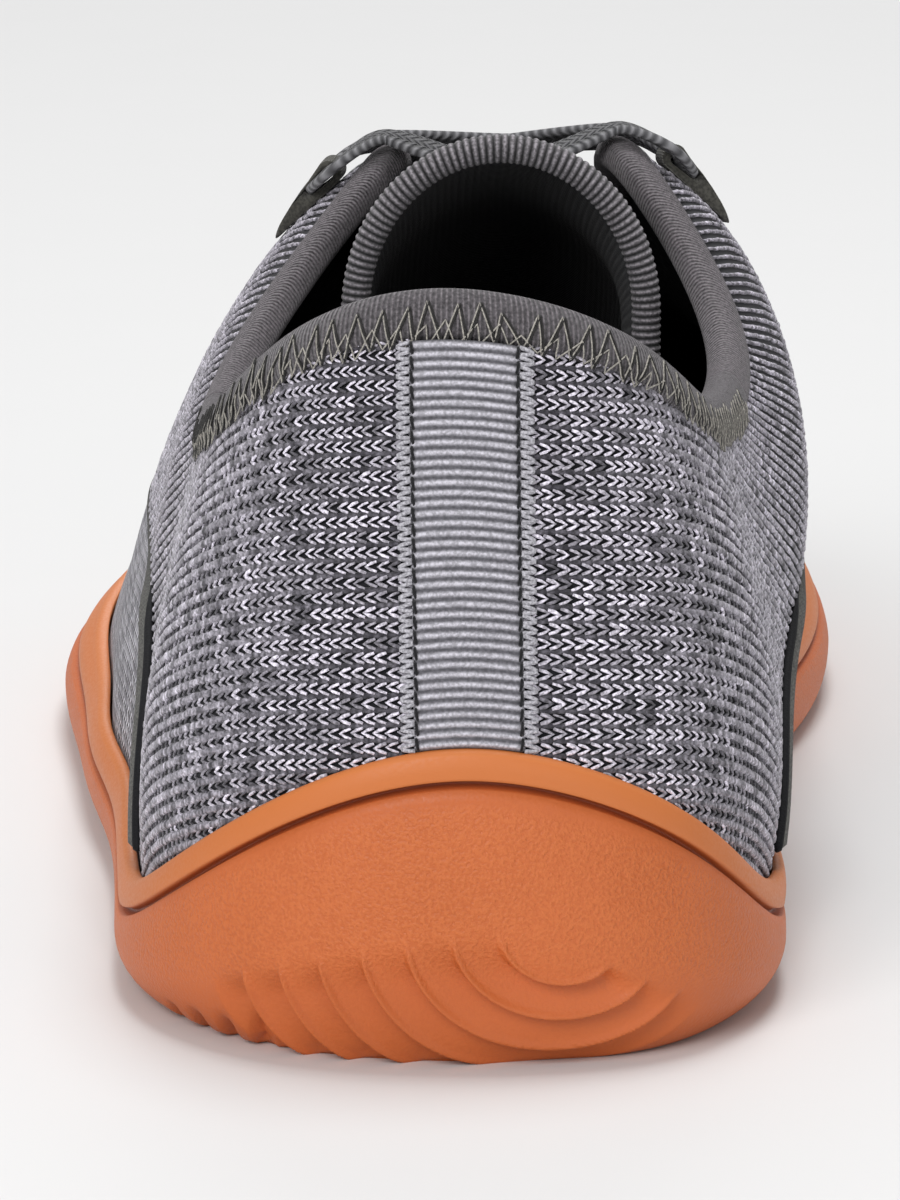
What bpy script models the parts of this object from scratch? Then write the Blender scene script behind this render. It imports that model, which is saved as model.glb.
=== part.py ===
"""A left knit sneaker on a moulded gum-rubber cup sole.

Metres, +Z up. The toe points along +Y and the inner side of the foot along +X.
The origin is on the floor, under the middle of the heel.
Sizes below are in millimetres, with y counted from the back of the heel.
"""

import bmesh
import bpy
import numpy as np

# Driving dimensions
HEEL_REACH = 46.0          # back of the heel to the origin
GAP = 0.3                  # between pieces that meet
UPPER_WALL = 2.2
SOLE_PLATE = 5.5           # floor to footbed
INSOLE_THICKNESS = 3.2
INSOLE_CLEARANCE = 1.2     # from the upper's inner wall
INSOLE_CROWN = 0.4         # rise of the footbed inside its border
INSOLE_BORDER = 0.06       # width of that border, as a share of the way across
SHARP_ANGLE = 40.0         # edges sharper than this, in degrees, stay sharp

# Sole: side wall, rim and underside
RIM_WALL = 1.4             # rubber outside the upper at the rim
RIM_BAND = 3.0             # raised band along the rim
RIM_GROOVE = 1.3           # width of the groove under the band
RIM_GROOVE_DEPTH = 0.8
RIM_GROOVE_LIP = 0.1       # set-back of the wall just under the groove
RIM_ROUND = 0.35           # rounding of the rim's outer edge
RIM_ROUND_DROP = 0.5
RIM_LEAN = 1.6             # power by which the wall leans in from its widest line to the rim
WIDEST_SHARE = 0.45        # height of the widest line, as a share of the rim's height
INNER_WALL_SHARES = (0.0, 0.33, 0.66, 1.0)
LOWER_WALL_ANGLES = (0, 22, 42, 60, 76, 90)     # degrees, from the widest line to the floor
FOOTBED_BORDER = 0.03      # shares of the way across
TREAD_BORDER = 0.14
ARCH_LIFT = 2.0
ARCH_MIDDLE = 112.0
ARCH_REACH = 34.0
ARCH_HALF_WIDTH = 30.0
ARCH_OUTER_SHARE = 0.4     # lift left at the outer side of the foot
TOE_SPRING = 8.0
TOE_SPRING_START = 188.0
TOE_SPRING_END = 262.0

# Stepped arcs on the back of the heel, counted outwards from their focus
ARC_FOCUS_U = 9.0          # round the ring from the middle of the heel
ARC_FOCUS_DOWN = 0.0       # down the wall from its widest line
ARC_FLATTEN = 0.88         # height of an arc over its half width
ARC_FIRST = 6.4
ARC_PITCH = 4.75
ARC_COUNT = 7
ARC_STEP = 0.9
ARC_RAMP = 3.4             # from the foot of a step out to the wall's own surface
ARC_SWEEPS = (148, 150, 150, 78, 52, 42, 35)   # degrees turned by each arc
ARC_END_SHARE = 0.12       # start of the sine along which a step deepens and fades
ARC_FADE = 0.6             # power of that sine: the step is full sooner when it is small
ARC_END_PARTS = 6          # sections of the outermost arc, and those added for each arc inwards
ARC_MORE_PARTS = 2
CUT_CLEARANCE = 1.0        # height of an arc's cutter above the wall
RAMP_CLEARANCE = 0.1       # height of its ramp's far end above the wall

# Tread notches in the lower edge at the outer corner of the heel
NOTCH_COUNT = 4
NOTCH_FIRST_U = -27.0
NOTCH_PITCH = -5.2
NOTCH_DEPTH = 1.3
NOTCH_HALF_WIDTH = 1.4
NOTCH_ANGLES = (38, 60, 78, 90)     # degrees down the lower wall
NOTCH_START = 0.3          # height of its point above the wall before it bites
NOTCH_CLEARANCE = 0.6

# Edges and overlays
BINDING_HEIGHT = 5.0
BINDING_GAP = 0.4
BINDING_SECTION = (
    # share of the binding's height, offset from the upper's outer surface
    (0.0, 0.3), (0.25, 0.9), (0.7, 0.9), (0.95, 0.2), (1.0, -1.1),
    (0.95, -2.4), (0.7, -3.1), (0.25, -3.1), (0.0, -2.5),
)
TONGUE_WALL = 2.5
TONGUE_ROLL = 3.4
TAPE_WIDTH = 14.0
OVERLAY = 0.8
OVERLAY_ABOVE_RIM = 1.0
TAPE_BELOW_BINDING = 1.5
BAND_WIDTH = 5.0
BAND_PATH = (
    # along the sole's widest line, height: from the rim at the heel to a place under the loops
    (47.5, 13.4), (54, 19), (62, 24.5), (72, 29.5), (86, 34.3),
    (104, 37.2), (122, 38.4), (140, 39), (156, 40.5), (168, 45),
)

# Lace and its loops
LOOP_ROWS = 4
LOOP_FIRST_Y = 168.0       # throat edge at the lowest row
LOOP_LAST_Y = 116.0        # throat edge at the highest row
LOOP_SETBACK = 12.5        # from the throat edge down the upper
LOOP_LENGTH = 11.5
LOOP_HEIGHT = 3.4
LOOP_WIDTH = 5.0
LOOP_TAIL = 0.5            # share of its height at the sewn end
LOOP_EYE_UP = 2.6          # from the loop's middle towards the throat edge
LOOP_EYE_OUT = 1.5         # off the upper
LOOP_EYE_LENGTH = 4.6
LOOP_EYE_HEIGHT = 1.8
LACE_WIDTH = 6.0
LACE_THICKNESS = 1.2
LACE_RIDE = 2.2            # middle of the lace above the upper at the throat edge
LACE_EDGE_IN = 0.8         # from the throat's edge to where the lace lies over it
LACE_RUN_OUT = 6.5         # from a loop's middle to where the lace crosses the throat edge
LACE_TURN = 3.1            # the lace turns this far outside a loop
LACE_TOP_RUN = 3.0         # from the highest loops to the bar over the facings
LACE_TIGHTNESS = 0.38      # 0.5 swings the lace round its points, 0 pulls it straight
LACE_BUNCHED = 0.55        # share of its width to which a loop gathers the lace
LACE_STEP = 0.35           # one strand above the other where they cross
LACE_FIRST_BAR = (0.4, 0.7, 1.0)    # shares of the way across the throat
LACE_CROSSING = (0.0, 0.5, 1.0)
LACE_LAST_BAR = (0.0, 0.3, 0.6)
LACE_SAG = 2.0             # of the last bar at its middle

# Ring of ribs, counter-clockwise from the heel: the sole's widest line, the height of its rim,
# the upper's top edge, and how the rib between them swells
STATION_COLUMNS = (
    "edge_x", "edge_y", "rim_z", "floor_in", "foot_in",
    "top_x", "top_y", "top_z", "belly", "rise", "shoulder", "drop",
)
STATIONS = {
    "heel_back": (0, 0, 34.6, 6, 7, -1, 11.5, 82, 9, 22, 6, 24),
    "heel_medial_back": (22, 6.5, 27.2, 6, 7, 15.8, 18, 76.4, 9, 22, 6, 24),
    "heel_medial": (32.3, 24, 16, 6, 6, 23.5, 34, 67.7, 8, 20, 6, 20),
    "ankle_medial": (34.8, 50, 10.8, 5, 2.8, 26.8, 53, 63.4, 6.1, 20.6, 4.1, 17.7),
    "collar_low_medial": (33.8, 78, 11.2, 4, 4, 28.4, 72, 62.6, 9.2, 16, 10.2, 16.4),
    "arch_medial": (32.5, 104, 12, 4, 3.1, 26, 92, 69.8, 12.6, 26.4, 18, 9.6),
    "facing_top_medial": (34.5, 128, 12.5, 4, 3.9, 16.5, 112, 82.2, 14.4, 31.9, 23.4, 7),
    "waist_front_medial": (40, 150, 13, 3.5, 5.5, 16, 128, 77.8, 13, 30, 21, 9),
    "ball_medial": (46, 182, 13, 3, 6, 15, 150, 67, 6, 25, 20, 8),
    "big_toe": (45, 224, 15, 5, 6.5, 12.5, 168, 58.5, 6, 25, 30, 6),
    "toe_medial": (35.5, 249, 19, 7, 7, 8, 176, 55, 5, 25, 40, 5),
    "toe_tip": (13, 262, 23, 8, 7, 3, 178.5, 54, 5, 26, 47, 4),
    "toe_lateral": (-15, 253, 20, 7, 7, -2, 176, 54.5, 5, 25, 42, 5),
    "little_toe": (-39.5, 226, 15, 5, 6, -7, 167, 58, 4, 20, 30, 7),
    "ball_lateral": (-51, 174, 13, 3, 5, -9, 148, 66.5, 0, 15, 18, 12),
    "mid_lateral": (-48, 138, 12.5, 3.5, 4.6, -9.5, 127, 76, 1.6, 18.7, 23.1, 10.5),
    "facing_top_lateral": (-45.4, 112, 12, 4, 3, -9, 112, 80.8, -0.6, 23, 24, 9.8),
    "arch_lateral": (-42.5, 92, 11.5, 4, 2.8, -21.5, 92, 68, -2.2, 23, 16.5, 12),
    "collar_low_lateral": (-40.7, 72, 11.2, 4.5, 2.5, -28.5, 71, 60.4, -0.3, 17.5, 6, 15.6),
    "ankle_lateral": (-39.7, 50, 10.8, 5, 3.3, -28, 53, 62, 1.4, 17.2, 5.9, 17.2),
    "heel_lateral": (-36, 24, 16, 6, 6, -25.2, 33, 68.2, 8, 20, 6, 20),
    "heel_lateral_back": (-23, 6.5, 27.2, 6, 7, -17, 17, 77.8, 9, 22, 6, 24),
}
TOE_STATION = list(STATIONS).index("toe_tip")

# Samples round the ring, closer together round the heel, and along the other surfaces
HEEL_STRETCH = 52.0
HEEL_SPACING = 4.0
SIDE_SPACING = 9.0
RING_NUDGE = 0.05          # small steps that give a surface's directions
RIB_NUDGE = 0.002
RIB_STEPS = 81
PLACE_STEPS = 400
WALL_STEPS = 41
UPPER_OUTER_LEVELS = 11
UPPER_INNER_LEVELS = 8
TONGUE_LEVELS = 9
TONGUE_SIDES = 17
ROLL_SIDES = 21
ROLL_CORNERS = 8
TAPE_LEVELS = 7
TAPE_SIDES = 7
BAND_SIDES = 3
LOOP_CORNERS = 10
LACE_PARTS = 2

# Tongue sections from its back edge to its front
TONGUE_COLUMNS = ("y", "x", "crest_z", "half_width", "depth", "leg")
TONGUE_SECTIONS = (
    (96, 3.6, 85.8, 18, 20, 20),
    (112, 3.2, 79.2, 17.2, 18, 14),
    (135, 3.5, 71.5, 18.5, 17, 8),
    (158, 3, 58, 19, 16, 3),
    (172, 3, 49.8, 18.5, 15, 1),
    (186, 3.5, 50.6, 18, 14, 0),
)
TONGUE_ARCH_SHARE = 0.7    # of each section's half, the rest is its straight leg

# Colours, linear
GUM = (0.60, 0.17, 0.065, 1)
KNIT = (0.16, 0.155, 0.18, 1)
DARK_ELASTIC = (0.07, 0.067, 0.08, 1)
TAPE_GREY = (0.27, 0.265, 0.30, 1)
LINING = (0.012, 0.012, 0.015, 1)
WEBBING = (0.10, 0.10, 0.085, 1)
LACE_GREY = (0.045, 0.044, 0.05, 1)


def clear_scene():
    for obj in list(bpy.data.objects):
        bpy.data.objects.remove(obj, do_unlink=True)


def material(name, colour, roughness):
    made = bpy.data.materials.new(name)
    made.use_nodes = True
    shader = made.node_tree.nodes["Principled BSDF"]
    shader.inputs["Base Color"].default_value = colour
    shader.inputs["Roughness"].default_value = roughness
    shader.inputs["Metallic"].default_value = 0.0
    return made


def add_object(name, points, faces, finish):
    """Make one closed object from points in millimetres."""
    placed = (np.asarray(points, float) - (0, HEEL_REACH, 0)) * 0.001
    mesh = bpy.data.meshes.new(name)
    mesh.from_pydata(placed.tolist(), [], faces)
    work = bmesh.new()
    work.from_mesh(mesh)
    bmesh.ops.remove_doubles(work, verts=work.verts, dist=1e-7)
    bmesh.ops.recalc_face_normals(work, faces=work.faces)
    work.to_mesh(mesh)
    work.free()
    if finish:
        mesh.materials.append(finish)
    mesh.shade_smooth()
    mesh.set_sharp_from_angle(angle=np.radians(SHARP_ANGLE))
    obj = bpy.data.objects.new(name, mesh)
    bpy.context.collection.objects.link(obj)
    return obj


# Closed splines round the ring of stations

def chord_knots(points):
    steps = np.linalg.norm(np.diff(points, axis=0, append=points[:1]), axis=1)
    return np.concatenate([[0], np.cumsum(steps)])


def closed_spline(knots, values):
    """Periodic cubic through values, a row for each knot; the last knot closes the ring."""
    step = np.diff(knots)
    count = len(step)
    before = np.roll(step, 1)
    slope = (np.roll(values, -1, axis=0) - values) / step[:, None]
    system = np.diag(2 * (before + step))
    rows = np.arange(count)
    system[rows, (rows + 1) % count] += step
    system[rows, (rows - 1) % count] += before
    bend = np.linalg.solve(system, 6 * (slope - np.roll(slope, 1, axis=0)))

    def at(u):
        u = np.mod(u, knots[-1])
        left = np.clip(np.searchsorted(knots, u, side="right") - 1, 0, count - 1)
        right = (left + 1) % count
        width = step[left][..., None]
        far = ((u - knots[left]) / step[left])[..., None]
        near = 1 - far
        curve = (near**3 - near) * bend[left] + (far**3 - far) * bend[right]
        return near * values[left] + far * values[right] + curve * width**2 / 6

    return at


TABLE = np.array(list(STATIONS.values()), float)
KNOTS = chord_knots(TABLE[:, :2])
RING_LENGTH = KNOTS[-1]
TOE_U = KNOTS[TOE_STATION]
ring_values = closed_spline(KNOTS, TABLE)


def stations_at(u):
    values = ring_values(u)
    return {name: values[..., k] for k, name in enumerate(STATION_COLUMNS)}


def stack(x, y, z):
    return np.stack(np.broadcast_arrays(x, y, z), axis=-1).astype(float)


def unit(vectors):
    return vectors / np.linalg.norm(vectors, axis=-1, keepdims=True)


def outward(u):
    """Level direction that points out of the sole's widest line."""
    ahead = ring_values(u + RING_NUDGE)[..., :2]
    behind = ring_values(u - RING_NUDGE)[..., :2]
    along = unit(ahead - behind)
    return stack(along[..., 1], -along[..., 0], 0)


def lift(x, y):
    """Height of the underside above the floor: arch and toe spring."""
    arch = np.clip(1 - ((y - ARCH_MIDDLE) / ARCH_REACH) ** 2, 0, 1) ** 2
    inner_share = (1 + np.clip(x / ARCH_HALF_WIDTH, -1, 1)) / 2
    side_share = ARCH_OUTER_SHARE + (1 - ARCH_OUTER_SHARE) * inner_share
    spring = np.maximum(y - TOE_SPRING_START, 0) / (TOE_SPRING_END - TOE_SPRING_START)
    return ARCH_LIFT * arch * side_share + TOE_SPRING * spring**2


# The upper's outer surface: one cubic rib at each place round the ring

def rib_controls(u):
    row = stations_at(u)
    out = outward(u)
    edge = stack(row["edge_x"], row["edge_y"], 0)
    foot = edge - row["foot_in"][..., None] * out
    foot[..., 2] = SOLE_PLATE + GAP + lift(foot[..., 0], foot[..., 1])
    top = stack(row["top_x"], row["top_y"], row["top_z"])
    low = foot + row["belly"][..., None] * out + stack(0, 0, row["rise"])
    high = top + row["shoulder"][..., None] * out - stack(0, 0, row["drop"])
    return foot, low, high, top


def upper_points(u, t):
    u, t = np.broadcast_arrays(np.asarray(u, float), np.asarray(t, float))
    foot, low, high, top = rib_controls(u)
    far = t[..., None]
    near = 1 - far
    return near**3 * foot + 3 * near**2 * far * low + 3 * near * far**2 * high + far**3 * top


def upper_frame(u, t):
    """Point, direction round the ring, direction up the rib, and outward normal."""
    round_ring = unit(upper_points(u + RING_NUDGE, t) - upper_points(u - RING_NUDGE, t))
    up_rib = unit(upper_points(u, t + RIB_NUDGE) - upper_points(u, t - RIB_NUDGE))
    return upper_points(u, t), round_ring, up_rib, unit(np.cross(round_ring, up_rib))


def on_upper(u, t, offset):
    point, _, _, normal = upper_frame(u, t)
    return point + np.asarray(offset, float)[..., None] * normal


def rib_t_at_height(u, height):
    """Place on each rib where it reaches the height."""
    steps = np.linspace(0, 1, RIB_STEPS)
    heights = upper_points(u[:, None], steps[None, :])[..., 2]
    rising = np.maximum.accumulate(heights, axis=1)
    return np.array([np.interp(z, row, steps) for z, row in zip(height, rising)])


def rib_t_below_top(u, distance):
    """Place on each rib at a distance down from its top, measured along its last stretch."""
    _, _, high, top = rib_controls(u)
    return 1 - distance / (3 * np.linalg.norm(top - high, axis=-1))


def ring_samples():
    """Places round the ring, paired across the shoe from heel to toe."""
    heel = np.arange(0, HEEL_STRETCH, HEEL_SPACING)
    side_count = round((TOE_U - HEEL_STRETCH) / SIDE_SPACING)
    side = np.linspace(heel[-1] + HEEL_SPACING, TOE_U, side_count)
    medial = np.concatenate([heel, side])
    lateral = RING_LENGTH - medial[-2:0:-1] / TOE_U * (RING_LENGTH - TOE_U)
    return np.concatenate([medial, lateral])


# Ways of closing a surface into a solid

def ring_faces(levels, count, closed_section):
    """Quads between rings of count points each."""
    faces = []
    last = levels if closed_section else levels - 1
    for level in range(last):
        low = level * count
        high = (level + 1) % levels * count
        for i in range(count):
            j = (i + 1) % count
            faces.append((low + i, low + j, high + j, high + i))
    return faces


def ladder_faces(start, count):
    """Fill a ring across the shoe, joining each point to its partner on the other side."""
    faces = []
    half = count // 2
    for i in range(half):
        corners = (i, i + 1, (count - i - 1) % count, (count - i) % count)
        faces.append(tuple(dict.fromkeys(start + corner for corner in corners)))
    return faces


def across(ring, share):
    """Move each point of a ring towards its partner on the other side."""
    partner = np.concatenate([ring[:1], ring[:0:-1]])
    return ring + share * (partner - ring)


def sheet_solid(name, front, back, finish):
    """Close two matching grids of points into one sheet of real thickness."""
    rows, cols = front.shape[:2]
    offset = rows * cols
    index = np.arange(offset).reshape(rows, cols)
    corners = [index[:-1, :-1], index[1:, :-1], index[1:, 1:], index[:-1, 1:]]
    quads = np.stack(corners, axis=-1).reshape(-1, 4)
    rim = np.concatenate([index[0], index[1:, -1], index[-1, -2::-1], index[-2:0:-1, 0]])
    nearest = np.roll(rim, -1)
    sides = np.stack([rim, nearest, nearest + offset, rim + offset], axis=-1)
    faces = np.concatenate([quads, quads[:, ::-1] + offset, sides])
    points = np.concatenate([front.reshape(-1, 3), back.reshape(-1, 3)])
    return add_object(name, points, faces.tolist(), finish)


def tube_solid(name, sections, finish):
    """Close a row of matching section loops, capped at both ends."""
    count, sides = sections.shape[:2]
    faces = ring_faces(count, sides, closed_section=False)
    faces.append(tuple(range(sides)))
    faces.append(tuple(range((count - 1) * sides, count * sides)))
    return add_object(name, sections.reshape(-1, 3), faces, finish)


# Sole

def sole_wall(u):
    """Outer wall of the sole: its widest line, outward direction, ground and rim heights."""
    row = stations_at(u)
    edge = stack(row["edge_x"], row["edge_y"], 0)
    ground = lift(edge[..., 0], edge[..., 1])
    widest_z = ground + WIDEST_SHARE * (row["rim_z"] - ground)
    return edge, outward(u), ground, widest_z, row


def under_wall(u, angle, offset=0.0):
    """Point on the rounded lower wall, from the widest line (0) to the floor (a right angle)."""
    edge, out, ground, widest_z, row = sole_wall(u)
    turn_in = row["floor_in"] * (1 - np.cos(angle))
    drop = (widest_z - ground) * np.sin(angle)
    point = edge - turn_in[..., None] * out
    point[..., 2] = widest_z - drop
    down = stack(0, 0, -np.sin(angle))
    normal = unit(np.cos(angle)[..., None] * out + down)
    return point + np.asarray(offset, float)[..., None] * normal


def down_wall_angle(distance):
    """Angle on the lower wall at a distance down from the widest line, at the heel."""
    angle = np.linspace(0, np.pi / 2, WALL_STEPS)
    wall = under_wall(np.zeros_like(angle), angle)
    run = np.concatenate([[0], np.cumsum(np.linalg.norm(np.diff(wall, axis=0), axis=1))])
    return np.interp(distance, run, angle)


def make_cutter(name, sections):
    cutter = tube_solid(name, sections, None)
    cutter.hide_render = True
    cutter.display_type = "WIRE"
    return cutter


def arc_cutter(number):
    """Wedge that leaves one step: a sharp edge on the focus side and a ramp on the other."""
    radius = ARC_FIRST + ARC_PITCH * number
    parts = ARC_END_PARTS + ARC_MORE_PARTS * (ARC_COUNT - number)
    sweep = np.radians(np.linspace(0, ARC_SWEEPS[number], parts))
    fade = np.sin(np.linspace(ARC_END_SHARE, 1 - ARC_END_SHARE, parts) * np.pi) ** ARC_FADE
    outline = (
        (0, CUT_CLEARANCE), (0, -ARC_STEP), (ARC_RAMP, RAMP_CLEARANCE), (ARC_RAMP, CUT_CLEARANCE),
    )
    corners = []
    for reach, sink in outline:
        u = ARC_FOCUS_U - (radius + reach) * np.cos(sweep)
        down = ARC_FOCUS_DOWN + ARC_FLATTEN * (radius + reach) * np.sin(sweep)
        depth = np.where(sink < 0, sink * fade, sink)
        corners.append(under_wall(u, down_wall_angle(down), depth))
    return make_cutter(f"arc_cutter_{number + 1}", np.stack(corners, axis=1))


def notch_cutter(number):
    """Short wedge across the lower edge of the heel's outer corner."""
    middle = NOTCH_FIRST_U + NOTCH_PITCH * number
    angle = np.radians(NOTCH_ANGLES)
    above = np.full_like(angle, NOTCH_CLEARANCE)
    point = NOTCH_START - NOTCH_DEPTH * np.sin(angle) ** 2
    corners = [
        under_wall(np.full_like(angle, middle + shift), angle, depth)
        for shift, depth in ((-NOTCH_HALF_WIDTH, above), (0, point), (NOTCH_HALF_WIDTH, above))
    ]
    return make_cutter(f"notch_cutter_{number + 1}", np.stack(corners, axis=1))


def make_outsole(ring, finish):
    edge, out, _, widest_z, row = sole_wall(ring)
    rim_z = row["rim_z"]
    rim_t = rib_t_at_height(ring, rim_z)
    rim_edge = on_upper(ring, rim_t, GAP + RIM_WALL)

    def wall(height, inset):
        share = np.clip((height - widest_z) / (rim_z - widest_z), 0, 1) ** RIM_LEAN
        point = edge + share[:, None] * (rim_edge - edge) - inset * out
        point[:, 2] = height
        return point

    band_low = rim_z - RIM_BAND
    groove_low = band_low - RIM_GROOVE
    inner = [on_upper(ring, rim_t * share, GAP) for share in INNER_WALL_SHARES]
    floor = across(inner[0], FOOTBED_BORDER)
    for point in (inner[0], floor):
        point[:, 2] = SOLE_PLATE + lift(point[:, 0], point[:, 1])
    outer = [
        wall(rim_z, RIM_ROUND),
        wall(rim_z - RIM_ROUND_DROP, 0.0),
        wall(band_low, 0.0),
        wall(band_low - RIM_GROOVE / 2, RIM_GROOVE_DEPTH),
        wall(groove_low, RIM_GROOVE_LIP),
        wall((groove_low + widest_z) / 2, 0.0),
    ]
    angles = np.radians(LOWER_WALL_ANGLES)
    lower = [under_wall(ring, np.full_like(ring, angle)) for angle in angles]
    under = across(lower[-1], TREAD_BORDER)
    under[:, 2] = lift(under[:, 0], under[:, 1])
    rings = [floor] + inner + outer + lower + [under]
    count = len(ring)
    faces = ring_faces(len(rings), count, closed_section=False)
    faces += ladder_faces(0, count)
    faces += ladder_faces((len(rings) - 1) * count, count)
    sole = add_object("outsole", np.concatenate(rings), faces, finish)
    cutters = [arc_cutter(number) for number in range(ARC_COUNT)]
    cutters += [notch_cutter(number) for number in range(NOTCH_COUNT)]
    for cutter in cutters:
        cut = sole.modifiers.new(cutter.name, "BOOLEAN")
        cut.operation = "DIFFERENCE"
        cut.object = cutter
    return sole


def make_insole(ring, finish):
    inset = UPPER_WALL + INSOLE_CLEARANCE
    low = on_upper(ring, 0.0, 0.0) - inset * outward(ring)
    low[:, 2] = SOLE_PLATE + GAP + lift(low[:, 0], low[:, 1])
    high_t = rib_t_at_height(ring, low[:, 2] + INSOLE_THICKNESS)
    high = on_upper(ring, high_t, -inset)
    high[:, 2] = low[:, 2] + INSOLE_THICKNESS
    crown = across(high, INSOLE_BORDER)
    crown[:, 2] += INSOLE_CROWN
    rings = [low, high, crown]
    count = len(ring)
    faces = ring_faces(len(rings), count, closed_section=False)
    faces += ladder_faces(0, count)
    faces += ladder_faces((len(rings) - 1) * count, count)
    return add_object("insole", np.concatenate(rings), faces, finish)


# Upper and its edges

def make_upper(ring, finish):
    top_t = rib_t_below_top(ring, BINDING_HEIGHT + BINDING_GAP)
    rising = np.linspace(0, 1, UPPER_OUTER_LEVELS)
    falling = np.linspace(1, 0, UPPER_INNER_LEVELS)
    outer = [on_upper(ring, top_t * share, 0.0) for share in rising]
    inner = [on_upper(ring, top_t * share, -UPPER_WALL) for share in falling]
    rings = outer + inner
    faces = ring_faces(len(rings), len(ring), closed_section=True)
    return add_object("upper", np.concatenate(rings), faces, finish)


def binding_places(ring):
    """Split the ring at the collar's two low points, into the collar and the throat."""
    names = list(STATIONS)
    medial, lateral = (
        int(np.argmin(np.abs(ring - KNOTS[names.index(name)])))
        for name in ("collar_low_medial", "collar_low_lateral")
    )
    collar = np.concatenate([ring[lateral:] - RING_LENGTH, ring[: medial + 1]])
    throat = ring[medial : lateral + 1].copy()
    for places in (collar, throat):
        places[0] += GAP
        places[-1] -= GAP
    return collar, throat


def make_binding(name, places, finish):
    """Rounded elastic tape that carries each rib on to the upper's top edge."""
    low_t = rib_t_below_top(places, BINDING_HEIGHT)
    loops = [
        on_upper(places, low_t + (1 - low_t) * share, offset)
        for share, offset in BINDING_SECTION
    ]
    return tube_solid(name, np.stack(loops, axis=1), finish)


# Tongue

def tongue_grid(shares, sides, inward):
    table = np.array(TONGUE_SECTIONS, float)
    along = np.linspace(0, 1, len(table))
    value = {
        name: np.interp(shares, along, column)[:, None]
        for name, column in zip(TONGUE_COLUMNS, table.T)
    }
    arch = np.clip(sides / TONGUE_ARCH_SHARE, -1, 1)[None, :] * np.pi / 2
    leg = np.maximum(np.abs(sides) - TONGUE_ARCH_SHARE, 0)[None, :] / (1 - TONGUE_ARCH_SHARE)
    x = value["x"] + (value["half_width"] - inward) * np.sin(arch)
    fall = (value["depth"] - inward) * (1 - np.cos(arch)) + value["leg"] * leg
    return stack(x, value["y"], value["crest_z"] - inward - fall)


def make_tongue(finish):
    shares = np.linspace(0, 1, TONGUE_LEVELS)
    sides = np.linspace(-1, 1, TONGUE_SIDES)
    outer = tongue_grid(shares, sides, 0.0)
    inner = tongue_grid(shares, sides, TONGUE_WALL)
    return sheet_solid("tongue", outer, inner, finish)


def make_tongue_roll(finish):
    """Elastic roll along the tongue's back edge."""
    sides = np.linspace(-1, 1, ROLL_SIDES)
    outer = tongue_grid(np.zeros(1), sides, 0.0)[0]
    inner = tongue_grid(np.zeros(1), sides, TONGUE_WALL)[0]
    middle = (outer + inner) / 2
    thick = unit(outer - inner)
    loops = []
    radius = TONGUE_ROLL / 2
    for angle in np.linspace(0, 2 * np.pi, ROLL_CORNERS, endpoint=False):
        swing = radius * np.cos(angle) * thick
        back = stack(0, radius * np.sin(angle) - radius - GAP, 0)
        loops.append(middle + swing + back)
    return tube_solid("tongue_binding", np.stack(loops, axis=1), finish)


# Overlays on the upper

def overlay(name, u, t, finish):
    return sheet_solid(name, on_upper(u, t, GAP + OVERLAY), on_upper(u, t, GAP), finish)


def make_heel_tape(finish):
    half = np.linspace(-TAPE_WIDTH / 2, TAPE_WIDTH / 2, TAPE_SIDES)
    low = rib_t_at_height(half, stations_at(half)["rim_z"] + OVERLAY_ABOVE_RIM)
    high = rib_t_below_top(half, BINDING_HEIGHT + TAPE_BELOW_BINDING)
    t = low + np.linspace(0, 1, TAPE_LEVELS)[:, None] * (high - low)
    edges = upper_points(half[-1:], t[:, -1]) - upper_points(half[:1], t[:, 0])
    u = half * (TAPE_WIDTH / np.linalg.norm(edges, axis=-1))[:, None]
    return overlay("heel_tape", u, t, finish)


def place_by_edge(column, side, y):
    """Place on one side of the ring where a station column reaches y."""
    heel_u = 0 if side == "medial" else RING_LENGTH
    fine = np.linspace(heel_u, TOE_U, PLACE_STEPS)
    return np.interp(y, np.maximum.accumulate(stations_at(fine)[column]), fine)


def make_side_band(side, finish):
    """Narrow curved strip from the sole's rim up and forward to the lace loops."""
    path = smooth_path(BAND_PATH)
    width = np.linspace(-BAND_WIDTH / 2, BAND_WIDTH / 2, BAND_SIDES)
    u = place_by_edge("edge_y", side, path[:, :1] + width)
    height = np.broadcast_to(path[:, 1:], u.shape)
    t = rib_t_at_height(u.ravel(), height.ravel()).reshape(u.shape)
    return overlay("side_band_" + side, u, t, finish)


# Lace loops and lace

def row_y(row):
    return LOOP_FIRST_Y + (LOOP_LAST_Y - LOOP_FIRST_Y) * row / (LOOP_ROWS - 1)


def loop_seat(side, row):
    """Point on the upper under a loop, and the ways along the throat, up to its edge and out."""
    u = np.atleast_1d(place_by_edge("top_y", side, row_y(row)))
    frame = upper_frame(u, rib_t_below_top(u, LOOP_SETBACK))
    seat, along, _, out = (part[0] for part in frame)
    return seat, along, np.cross(out, along), out


def loop_outline(half_length, half_height):
    """Flat oval with round ends, as distances along and across it."""
    turn = np.linspace(0, 2 * np.pi, LOOP_CORNERS, endpoint=False)
    angle = turn + np.pi / LOOP_CORNERS
    straight = half_length - half_height
    along = np.sign(np.cos(angle)) * straight + half_height * np.cos(angle)
    return np.stack([along, half_height * np.sin(angle)], axis=1)


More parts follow.
